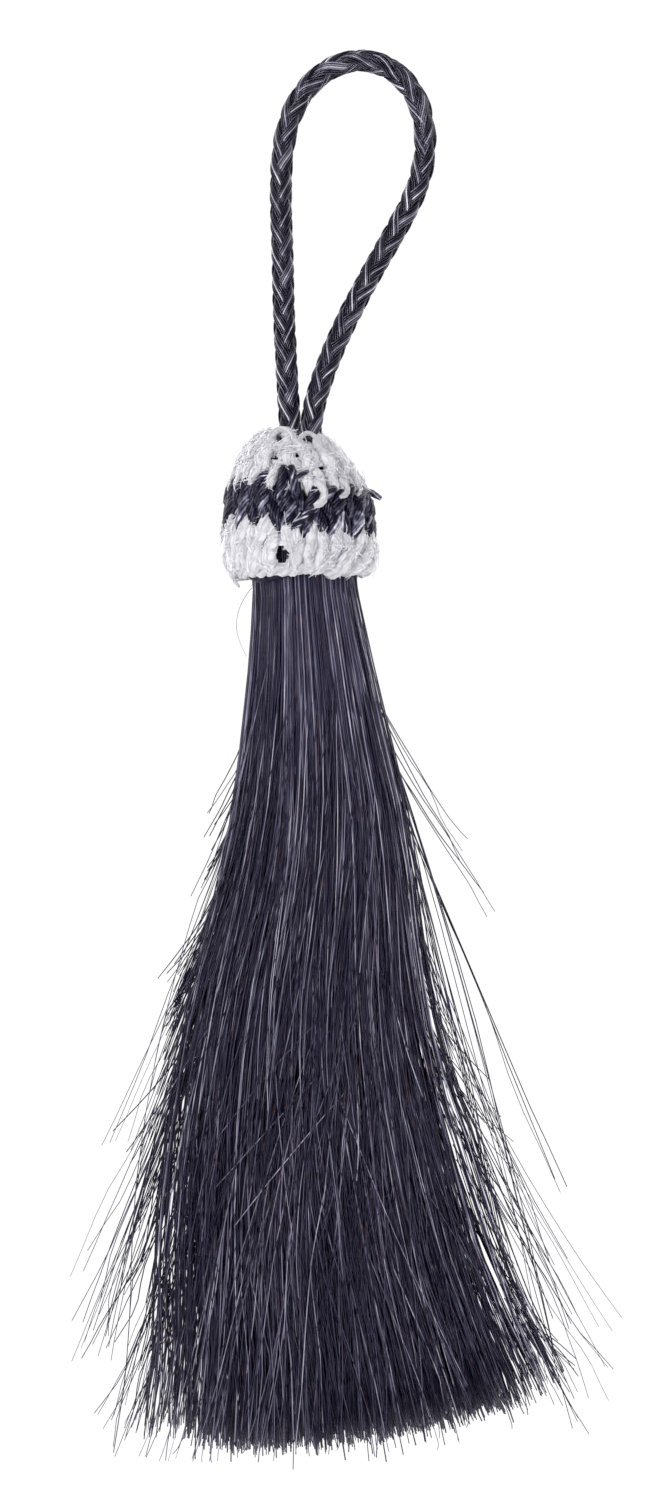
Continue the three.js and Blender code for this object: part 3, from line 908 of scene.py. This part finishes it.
def legs_of_round(height, count, front):
    """The paths of a round's legs, and how thick they are at each point."""
    turns = stitch_turns(count, front)
    share = np.linspace(0, 1, LEG_POINTS)
    paths, fat = [], []
    for turn, after, before in zip(turns, np.roll(turns, -1), np.roll(turns, 1)):
        lift = rng.normal(0, LEG_LIFT)
        reach = rng.uniform(*LEG_REACH) + LEFT_REACH * max(-math.cos(turn), 0)
        lean = SLANT + rng.normal(0, LEG_LEAN)
        for way, room in ((1, (after - turn) % (2 * np.pi)), (-1, (turn - before) % (2 * np.pi))):
            level = np.interp(share, STEPS, LEG_HEIGHT)
            rise = level * np.where(level > 0, reach, 1) * ROUND_GAP
            spread = np.interp(share, STEPS, LEG_SPREAD) * way * room
            spread = spread * (1 + rng.normal(0, LEG_UNEVEN))
            depth = np.interp(share, STEPS, LEG_DEPTH) + rng.normal(0, LEG_UNEVEN) - way * NEAR_LEG
            angle = turn + spread - lean * level * room
            tilted = height + lift + rise - ROUND_TILT * np.cos(turn) * (height > ROUNDS[0][0])
            path = on_cap(angle, np.minimum(tilted, TOP_LIMIT), depth, LEG_RADIUS)
            path += smooth_noise(3, LEG_POINTS, knots=4, spread=0.07).T
            paths.append(bent_round_gaps(path, LEG_RADIUS))
            fat.append(np.interp(share, STEPS, LEG_FAT) * LEG_RADIUS * rng.uniform(*LEG_THICKNESS))
    return paths, fat


legs = {"white": [], "black": []}
leg_radii = {"white": [], "black": []}
for height, count, colour, front in ROUNDS:
    paths, fat = legs_of_round(height, count, front)
    legs[colour] += paths
    leg_radii[colour] += fat
print("legs", len(legs["white"]), "white and", len(legs["black"]), "black")

# %% [markdown]
# Some bits of yarn follow no rule: two small loops at the mouth, white legs that hang over the black
# band, its small black teeth and the broad one in its middle, and the two ends of thread. Each is given
# by its own points.

# %% Loose bits of yarn
MOUTH_LOOP = [(-9.5, 58.6), (-9.4, 59.9), (-8.6, 60.9), (-7.5, 60.8), (-6.8, 59.9), (-6.4, 58.9)]
LOOSE = [
    # colour, radius, how far above the outline, points as x and height
    ("white", 0.46, 0.5, MOUTH_LOOP),
    ("white", 0.32, 0.5, [(-6.2, 58.9), (-5.8, 60.0), (-4.9, 60.5), (-4.0, 59.9), (-3.3, 58.9)]),
    ("white", 0.56, 0.5, [(-4.4, 54.6), (-3.4, 53.9), (-3.05, 53.0), (-3.4, 52.1), (-4.3, 51.6)]),
    ("white", 0.36, 0.6, [(-1.3, 54.9), (-0.6, 54.3), (-0.3, 53.6), (-0.6, 53.0), (-1.2, 52.7)]),
    ("white", 0.30, 0.6, [(0.5, 54.8), (0.95, 54.2), (1.15, 53.6), (0.85, 53.0)]),
    ("black", 0.56, 0.4, [(-2.6, 52.2), (-2.4, 53.1), (-1.8, 53.9)]),
    ("black", 0.46, 0.4, [(-0.2, 52.2), (0.0, 53.3), (0.3, 54.2)]),
    ("black", 0.38, 0.4, [(1.2, 52.2), (1.5, 52.9), (1.8, 53.5)]),
    ("black", 0.26, 0.5, [(-6.7, 54.6), (-6.1, 55.1), (-5.5, 55.5), (-4.9, 55.7)]),
    ("black", 0.48, 0.35, [(-11.2, 53.0), (-11.0, 54.2), (-10.5, 55.1), (-9.6, 55.6)]),
    ("black", 0.38, 0.3, [(-13.4, 53.6), (-13.1, 54.4), (-12.6, 54.9)]),
    ("black", 0.64, 0.6, [(-7.8, 56.4), (-7.9, 55.4), (-8.1, 54.0), (-8.4, 52.4)]),
    ("black", 0.60, 0.6, [(-7.0, 56.4), (-6.8, 55.2), (-6.6, 53.8), (-6.4, 52.4)]),
    ("black", 0.60, 0.1, [(-3.9, 51.6), (-5.0, 50.6), (-6.2, 49.6), (-7.4, 48.9), (-8.2, 49.2)]),
    ("white", 0.26, -0.3, [(-13.6, 44.6), (-13.9, 43.7), (-13.7, 42.9), (-13.2, 42.3)]),
    ("black", 0.44, 0.5, [(0.9, 52.6), (1.6, 53.5), (2.5, 53.6), (3.7, 52.9)]),
]
LOOSE_STEP = 0.05
LOOSE_TAPER = np.interp(np.linspace(0, 1, LEG_POINTS), [0, 0.15, 0.85, 1], [0.6, 1, 1, 0.6])
YARN_OFF_TABLE = 1.05
round_legs = {colour: len(paths) for colour, paths in legs.items()}

for colour, radius, proud, route in LOOSE:
    corners = []
    for x, y in route:
        left, right, thick = cap_size(y)
        across = np.clip((x - (left + right) / 2) / ((right - left) / 2), -1, 1)
        corners.append((x, y, CAP_MIDDLE + (thick / 2 - radius + proud) * math.sqrt(1 - across**2)))
    line = smooth_curve(corners, LOOSE_STEP)[0]
    legs[colour].append(line[np.linspace(0, len(line) - 1, LEG_POINTS).astype(int)])
    leg_radii[colour].append(radius * LOOSE_TAPER)

stitches = {}
for colour, make in (("white", SOFT), ("black", CRISP)):
    paths = np.array(legs[colour])
    radii = np.array(leg_radii[colour])
    paths[:, :, 2] = np.maximum(paths[:, :, 2], YARN_OFF_TABLE * radii.max(axis=1, keepdims=True))
    stitches[colour] = as_cap(yarn(colour + "_stitches", paths, radii, rng.random(len(paths)), make))

# %% [markdown]
# An edge of crochet ends in a chain, which looks like a flat plait. Two yarns that swing against each
# other give the chain at the rim, with a third behind them. Two more run round the back of the cord,
# from one loop at the mouth to the other. The rim hangs a little lower at the left.

# %% The edges of the cap
EDGE_POINTS = 160
ALL_ROUND, MOUTH_BACK = (0, 364), (150, 390)
EDGES = [
    # height, depth, waves, swing, phase, from and to in degrees, radius
    (44.2, 0.75, 18, 0.42, 0.0, ALL_ROUND, 0.46),
    (44.2, 0.75, 18, 0.42, math.pi, ALL_ROUND, 0.46),
    (44.0, 1.15, 18, 0.2, 1.0, ALL_ROUND, 0.46),
    (60.8, 0.5, 10, 0.18, 0.0, MOUTH_BACK, 0.42),
    (60.8, 0.7, 10, 0.18, math.pi, MOUTH_BACK, 0.42),
]
# How far the rim hangs down at the left, and the height below which an edge is the rim
RIM_DROOP, RIM_BELOW = 0.5, 47.2
SWING_DEPTH = 0.25
EDGE_CLEARANCE = 0.5
EDGE_TURNS = 14


def edge_yarn(height, depth, waves, swing, phase, reach):
    """A path round the cap that swings up and down, from one angle in degrees to another."""
    turn = np.linspace(*np.radians(reach), EDGE_POINTS)
    wave = waves * turn + phase
    droop = RIM_DROOP * np.maximum(-np.cos(turn), 0) * (height < RIM_BELOW)
    level = height - droop + np.sin(wave) * swing
    path = on_cap(turn, level, depth + SWING_DEPTH * np.cos(wave), EDGE_CLEARANCE)
    return path + smooth_noise(3, EDGE_POINTS, knots=24, spread=0.1).T


edges = np.array([edge_yarn(*row[:-1]) for row in EDGES])
edge_fat = np.array([row[-1] for row in EDGES])[:, None] * np.ones(EDGE_POINTS)
edging = as_cap(yarn("cap_edging", edges, edge_fat, rng.random(len(edges)), SOFT, EDGE_TURNS))

# %% [markdown]
# Under the stitches lies the ground of the fabric, a thin shell that closes the cap between the legs.
# It starts as a flat grid. Each point of the grid is laid onto the cap's outline, the seam is closed,
# the gaps are opened, and the shell gets its thickness.

# %% The ground under the stitches
GROUND_DEPTH = [(48.6, 0.85), (49.8, 1.6), (53.2, 1.6), (54.6, 0.95)]
GROUND_LOW, GROUND_HIGH = 44.0, 60.6
GROUND_COLUMNS, GROUND_ROWS = 96, 40
GROUND_CLEARANCE = 0.5
GROUND_THICKNESS = 0.3 * MM
BUMP_DEPTH, BUMPS_ROUND = 0.12, 18
SEAM_WIDTH = 1e-7
GAP_WIDENED = 1.4
ground_mesh = bmesh.new()
bmesh.ops.create_grid(ground_mesh, x_segments=GROUND_COLUMNS, y_segments=GROUND_ROWS, size=0.5)
for vertex in ground_mesh.verts:
    turn = (vertex.co.x + 0.5) * 2 * math.pi
    height = GROUND_LOW + (vertex.co.y + 0.5) * (GROUND_HIGH - GROUND_LOW)
    bump = BUMP_DEPTH * math.sin(BUMPS_ROUND * turn) * math.sin(height * 2 * math.pi / ROUND_GAP)
    depth = np.interp(height, *zip(*GROUND_DEPTH)) + bump
    vertex.co = Vector(on_cap(turn, height, depth, GROUND_CLEARANCE)) * MM
bmesh.ops.remove_doubles(ground_mesh, verts=ground_mesh.verts, dist=SEAM_WIDTH)


def in_gap(point):
    """Whether a point of the ground lies in one of the front's gaps."""
    reach = [math.hypot((point.x / MM - x) / a, (point.y / MM - y) / b) for x, y, a, b in GAPS]
    return point.z > CAP_MIDDLE * MM and min(reach) < GAP_WIDENED


open_faces = [face for face in ground_mesh.faces if in_gap(face.calc_center_median())]
bmesh.ops.delete(ground_mesh, geom=open_faces, context="FACES")
bmesh.ops.recalc_face_normals(ground_mesh, faces=ground_mesh.faces)
one_side = sum(face.calc_area() for face in ground_mesh.faces)
bmesh.ops.solidify(ground_mesh, geom=ground_mesh.faces[:], thickness=GROUND_THICKNESS)
ground_data = bpy.data.meshes.new("cap_ground")
ground_mesh.to_mesh(ground_data)
ground_mesh.free()
ground = as_cap(shown("cap_ground", ground_data))
cap_pieces = [stitches["white"], stitches["black"], edging]
print("ground area mm2", round(one_side / MM**2, 1))

# %% [markdown]
# Cotton is made of fibres two or three centimetres long. Most of them lie along the yarn, and some work
# loose: they stand off it as fuzz, or lie across the stitches as a thin felt. Both soften the cap. Only
# the loose bit of each fibre is built, several times thicker than in nature so that it can be seen.

# %% Fuzz and felt on the yarn
FIBRE_POINTS = 5
FIBRE_SIDES = 3
FIBRES = [
    # piece, yarn, fibres, length, 1 for fuzz or 0 for felt, radius
    ("white_fuzz", "white", 900, (0.5, 1.2), 1, 0.022),
    ("black_fuzz", "black", 120, (0.4, 1.0), 1, 0.02),
    ("white_felt", "white", 2600, (0.9, 2.3), 0, 0.045),
]
# Outwards is away from the cap's middle, but less so along the cap
CAP_CENTRE = (-5.9, 52.0, CAP_MIDDLE)
ALONG_CAP = 0.4
# Fuzz points outwards and half sideways, felt only sideways
FUZZ_OUT, FUZZ_SIDEWAYS = 0.8, 0.5
FIBRE_BEND, FIBRE_TAPER, FIBRE_CLEARANCE = 0.25, 1.2, 0.1
# How far out a fibre starts and how high felt bows, in shares of a leg's radius
ROOT_OUT, FELT_RISE, FELT_SAG = 0.75, 0.35, 0.5


def fibres(name, colour, count, length, stand, radius):
    """Short bent fibres on the stitches of a colour. stand is 1 for fuzz and 0 for felt."""
    paths = np.array(legs[colour])
    leg = rng.integers(0, round_legs[colour], count)
    point = rng.integers(2, LEG_POINTS - 2, count)
    root = paths[leg, point]
    out = root - np.array(CAP_CENTRE)
    out[:, 1] *= ALONG_CAP
    out = unit(out)
    side = square_to(out, rng.normal(0, 1, (count, 3)))
    t = np.linspace(0, 1, FIBRE_POINTS)[None, :, None]
    reach = rng.uniform(*length, (count, 1, 1))
    way = out[:, None] * (FUZZ_OUT * stand) + side[:, None] * (1 - FUZZ_SIDEWAYS * stand)
    lines = root[:, None] + (t - 0.5 * (1 - stand)) * way * reach
    lines += rng.normal(0, FIBRE_BEND, (count, 1, 3)) * t**2
    bow = (1 - stand) * (FELT_RISE - FELT_SAG * (2 * t - 1) ** 2)
    lines += out[:, None] * LEG_RADIUS * (ROOT_OUT + bow)
    lines[:, :, 2] = np.maximum(lines[:, :, 2], FIBRE_CLEARANCE)
    radii = radius * (FIBRE_TAPER - t[:, :, 0] * stand) * np.ones((count, 1))
    return as_cap(tubes(name, lines * MM, radii * MM, FIBRE_SIDES, rng.random(count)))


white_fuzz, black_fuzz, white_felt = [fibres(*row) for row in FIBRES]

# %% [markdown]
# Every material mixes the same few things: the number "tone" that each hair or ply carries, noise in the
# piece's own space, and a colour ramp. So there are small helpers for them. Noise is stretched by giving
# each axis its own scale, in cycles per metre: few cycles along the hair and many across it.

# %% Helpers for materials


def principled(name, roughness):
    """A new material, its node tree and its shader."""
    material = bpy.data.materials.new(name)
    material.use_nodes = True
    shader = material.node_tree.nodes["Principled BSDF"]
    shader.inputs["Roughness"].default_value = roughness
    return material, material.node_tree, shader


def ramp(tree, stops, source):
    """A colour ramp with the given stops, driven by a value."""
    node = tree.nodes.new("ShaderNodeValToRGB")
    for extra in stops[2:]:
        node.color_ramp.elements.new(extra[0])
    for element, (position, colour) in zip(node.color_ramp.elements, sorted(stops)):
        element.position = position
        element.color = (*colour, 1)
    tree.links.new(source, node.inputs["Fac"])
    return node.outputs["Color"]


def tone_of(tree):
    """The tone that each tube carries."""
    node = tree.nodes.new("ShaderNodeAttribute")
    node.attribute_name = "tone"
    return node.outputs["Fac"]


def noise(tree, scale, detail):
    """Noise in the piece's own space, with a scale for each axis."""
    place = tree.nodes.new("ShaderNodeTexCoord")
    stretch = tree.nodes.new("ShaderNodeMapping")
    stretch.inputs["Scale"].default_value = scale
    grain = tree.nodes.new("ShaderNodeTexNoise")
    grain.inputs["Scale"].default_value = 1.0
    grain.inputs["Detail"].default_value = detail
    tree.links.new(place.outputs["Object"], stretch.inputs["Vector"])
    tree.links.new(stretch.outputs["Vector"], grain.inputs["Vector"])
    return grain.outputs["Fac"]


def times_plus(tree, value, factor, extra):
    """value times factor, plus extra, which is a number or another value."""
    node = tree.nodes.new("ShaderNodeMath")
    node.operation = "MULTIPLY_ADD"
    tree.links.new(value, node.inputs[0])
    node.inputs[1].default_value = factor
    if isinstance(extra, float):
        node.inputs[2].default_value = extra
    else:
        tree.links.new(extra, node.inputs[2])
    return node.outputs[0]


def uneven_tone(tree, grain, amount):
    """The tone of each tube, made uneven along it by noise."""
    return times_plus(tree, grain, amount, times_plus(tree, tone_of(tree), 1.0, -amount / 2))


print("material helpers ready")

# %% [markdown]
# Black horsehair is not black everywhere. Its surface is smooth and scaly, so it reflects a bluish light
# along each hair. Some hairs are grey or nearly clear, and a few turn reddish brown where the sun has
# bleached them. The ramp goes from near black to light grey, with one narrow brown step, and the
# reflection is tinted. Its light grey end is partly the hairs' own grey and partly painted highlight:
# light hairs, lightened in streaks along their length by noise, stand for lines of reflected light.
# The cord is of the same hair, but its light hairs, painted highlights too, stand out more.

# %% Horsehair materials
BLACK_HAIR = (0.0055, 0.005, 0.0155)
BROWN_HAIR = (0.05, 0.021, 0.02)
# The upper stops are partly painted highlight: light hairs stand for lines of reflected light
HAIR_STOPS = [
    (0.0, (0.0025, 0.0022, 0.007)),
    (0.32, BLACK_HAIR),
    (0.325, BROWN_HAIR),
    (0.335, BROWN_HAIR),
    (0.34, BLACK_HAIR),
    (0.60, (0.0142, 0.0127, 0.0285)),
    (0.78, (0.054, 0.050, 0.078)),
    (0.92, (0.165, 0.157, 0.215)),
    (1.0, (0.33, 0.32, 0.39)),
]
# The cord's light end is near white: the painted highlight along each strand
CORD_STOPS = [
    (0.0, (0.0025, 0.0022, 0.006)),
    (0.5, (0.009, 0.0082, 0.018)),
    (0.7, (0.04, 0.038, 0.055)),
    (0.86, (0.2, 0.19, 0.24)),
    (1.0, (0.6, 0.59, 0.65)),
]
# How much the noise adds to the roughness, and how much lower the roughness starts for that
GRAIN_ROUGH, START_LOWER = 0.25, 0.12


def hair_material(name, stops, roughness, specular, tint, scale, amount):
    """A glossy hair material whose colour goes by each hair's tone."""
    material, tree, shader = principled(name, roughness)
    # Noise along each hair lightens it in streaks, partly a painted highlight
    grain = noise(tree, scale, detail=2)
    tree.links.new(ramp(tree, stops, uneven_tone(tree, grain, amount)), shader.inputs["Base Color"])
    rough = times_plus(tree, grain, GRAIN_ROUGH, roughness - START_LOWER)
    tree.links.new(rough, shader.inputs["Roughness"])
    shader.inputs["Specular IOR Level"].default_value = specular
    shader.inputs["Specular Tint"].default_value = (*tint, 1)
    return material


skirt_look = hair_material(
    "horsehair",
    HAIR_STOPS,
    roughness=0.24,
    specular=0.30,
    tint=(0.74, 0.69, 1.0),
    scale=(1400, 110, 1400),
    amount=0.5,
)
cord_look = hair_material(
    "cord_horsehair",
    CORD_STOPS,
    roughness=0.25,
    specular=0.5,
    tint=(0.86, 0.83, 1.0),
    scale=(400, 400, 400),
    amount=0.45,
)
for piece in hair:
    piece.data.materials.append(skirt_look)
cord.data.materials.append(cord_look)
print("horsehair on", len(hair) + 1, "pieces")

# %% [markdown]
# White cotton scatters light at its surface and a little way inside, so it is rough, has a faint sheen
# and hardly any contrast: light that enters one leg comes out again in the grooves beside it.
# The black yarn is smooth and glossy: nearly all its plies are very dark, and a few light ones are
# painted highlights that give it thin bright lines. A fine bump stands for the fibres. The ground has
# the colour of the stitches above it, the white a little darker as painted shade in the grooves between
# them, so a ramp along the cap's height makes it white, black and white again.

# %% Yarn materials
WHITE_STOPS = [
    (0.0, (0.64, 0.63, 0.68)),
    (0.5, (0.69, 0.68, 0.73)),
    (1.0, (0.73, 0.72, 0.765)),
]
# The light end of the black ramp is painted highlight: the thin bright lines on a few plies
BLACK_STOPS = [
    (0.0, (0.0025, 0.002, 0.0075)),
    (0.62, (0.0055, 0.0048, 0.0155)),
    (0.78, (0.028, 0.026, 0.048)),
    (0.90, (0.14, 0.135, 0.19)),
    (1.0, (0.48, 0.47, 0.55)),
]
LIGHT_REACH = 0.8 * MM
PLY_GRAIN, FIBRE_GRAIN, BORDER_GRAIN = (900, 900, 900), (5000, 5000, 5000), (700, 700, 700)
PLY_UNEVEN = 0.6
BUMP_STRENGTH = 0.5
BORDER_SWING = 0.06
COTTON_ROUGHNESS = 0.9
# The white ground is a little darker than the white stitches: painted shade in the grooves
WHITE_GROUND = (0.62, 0.61, 0.66)
BLACK_GROUND = (0.005, 0.0046, 0.008)
BAND = [(48.7, WHITE_GROUND), (49.1, BLACK_GROUND), (53.4, BLACK_GROUND), (53.9, WHITE_GROUND)]


def yarn_material(name, stops, roughness, sheen, specular, tint, soft, depth):
    """A yarn material whose colour goes by each ply's tone, with a fine bump."""
    material, tree, shader = principled(name, roughness)
    tone = uneven_tone(tree, noise(tree, PLY_GRAIN, detail=3), PLY_UNEVEN)
    tree.links.new(ramp(tree, stops, tone), shader.inputs["Base Color"])
    shader.inputs["Sheen Weight"].default_value = sheen
    shader.inputs["Specular IOR Level"].default_value = specular
    shader.inputs["Specular Tint"].default_value = (*tint, 1)
    shader.inputs["Subsurface Weight"].default_value = soft
    shader.inputs["Subsurface Radius"].default_value = (1, 1, 1)
    shader.inputs["Subsurface Scale"].default_value = LIGHT_REACH
    bump = tree.nodes.new("ShaderNodeBump")
    bump.inputs["Strength"].default_value = BUMP_STRENGTH
    bump.inputs["Distance"].default_value = depth
    tree.links.new(noise(tree, FIBRE_GRAIN, detail=2), bump.inputs["Height"])
    tree.links.new(bump.outputs["Normal"], shader.inputs["Normal"])
    return material


def ground_material():
    """The ground's material: a ramp over the height, with its borders made uneven by noise."""
    material, tree, shader = principled("yarn_ground", COTTON_ROUGHNESS)
    place = tree.nodes.new("ShaderNodeTexCoord")
    axes = tree.nodes.new("ShaderNodeSeparateXYZ")
    tree.links.new(place.outputs["Object"], axes.inputs["Vector"])
    whole = (GROUND_HIGH - GROUND_LOW) * MM
    start = -BORDER_SWING / 2 - GROUND_LOW * MM / whole
    wobble = times_plus(tree, noise(tree, BORDER_GRAIN, detail=2), BORDER_SWING, start)
    share = times_plus(tree, axes.outputs["Y"], 1 / whole, wobble)
    stops = [((height - GROUND_LOW) * MM / whole, colour) for height, colour in BAND]
    tree.links.new(ramp(tree, stops, share), shader.inputs["Base Color"])
    return material


white_look = yarn_material(
    "white_yarn",
    WHITE_STOPS,
    roughness=COTTON_ROUGHNESS,
    sheen=0.1,
    specular=0.4,
    tint=(1, 1, 1),
    soft=0.6,
    depth=0.08 * MM,
)
black_look = yarn_material(
    "black_yarn",
    BLACK_STOPS,
    roughness=0.22,
    sheen=0.0,
    specular=0.32,
    tint=(0.82, 0.78, 1),
    soft=0.0,
    depth=0.03 * MM,
)
for piece in (stitches["white"], edging, white_fuzz, white_felt):
    piece.data.materials.append(white_look)
for piece in (stitches["black"], black_fuzz):
    piece.data.materials.append(black_look)
ground.data.materials.append(ground_material())
print("yarn materials", white_look.name, black_look.name)

# %% [markdown]
# The tassel lies on a white table under large soft lights. A hair shines where the light comes from
# almost the same side as the camera, so the lights stand high and near the middle of its length. One
# is on the left, one on the right, and a weak one below the cut brightens the ends, which slope down.
# The photograph's ground is plain white without a shadow. So the table glows a little, and the camera
# alone sees it as plain white, just above 1. A much brighter table would swallow the finest hairs,
# which are thinner than a pixel.

# %% Floor and light
FLOOR_SIZE = 4.0
TABLE_COLOUR, WHITE_LIGHT = (0.94, 0.94, 0.94, 1), (1, 1, 1, 1)
TABLE_ROUGHNESS = 0.9
TABLE_GLOW = 0.32
SEEN_WHITE = 1.03
WORLD_STRENGTH = 0.48
SOFTBOXES = [
    # name, place in metres, size in metres, power in watts
    ("left_light", (-0.32, 0.20, 0.50), 0.20, 3.2),
    ("right_light", (0.30, -0.12, 0.60), 0.30, 2.7),
    ("low_light", (-0.05, -0.50, 0.42), 0.25, 1.8),
]
LIGHT_TARGET = Vector((0.0, 0.02, 0.0))

bpy.ops.mesh.primitive_plane_add(size=FLOOR_SIZE)
floor = bpy.context.object
floor.name = "floor"
floor_look, floor_tree, floor_shader = principled("table_top", TABLE_ROUGHNESS)
floor_shader.inputs["Base Color"].default_value = TABLE_COLOUR
floor_shader.inputs["Emission Color"].default_value = WHITE_LIGHT
floor_shader.inputs["Emission Strength"].default_value = TABLE_GLOW
seen_table = floor_tree.nodes.new("ShaderNodeEmission")
seen_table.inputs["Strength"].default_value = SEEN_WHITE
ray = floor_tree.nodes.new("ShaderNodeLightPath")
either = floor_tree.nodes.new("ShaderNodeMixShader")
floor_tree.links.new(ray.outputs["Is Camera Ray"], either.inputs[0])
floor_tree.links.new(floor_shader.outputs["BSDF"], either.inputs[1])
floor_tree.links.new(seen_table.outputs["Emission"], either.inputs[2])
floor_tree.links.new(either.outputs["Shader"], floor_tree.nodes["Material Output"].inputs["Surface"])
floor.data.materials.append(floor_look)
floor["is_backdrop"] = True

world = bpy.data.worlds.new("studio")
world.use_nodes = True
world.node_tree.nodes["Background"].inputs["Color"].default_value = WHITE_LIGHT
world.node_tree.nodes["Background"].inputs["Strength"].default_value = WORLD_STRENGTH
bpy.context.scene.world = world

for name, place, size, power in SOFTBOXES:
    lamp = bpy.data.lights.new(name, "AREA")
    lamp.size = size
    lamp.energy = power
    softbox = bpy.data.objects.new(name, lamp)
    softbox.location = place
    softbox.rotation_euler = (LIGHT_TARGET - softbox.location).to_track_quat("-Z", "Y").to_euler()
    bpy.context.scene.collection.objects.link(softbox)
bpy.context.scene.view_settings.view_transform = "Standard"
print("lights", len(SOFTBOXES))

# %% [markdown]
# Last, the size of the whole is measured again and printed beside the CAD model's, so that the two can
# be compared.

# %% Measure and finish
visual_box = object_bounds()
for label, box in (("cad", cad_box), ("visual", visual_box)):
    print(label, [round(v / MM, 1) for corner in box for v in corner])
everything = [*hair, cord, *cap_pieces, ground, white_fuzz, black_fuzz, white_felt]
print("triangles in all", sum(triangles(piece) for piece in everything))
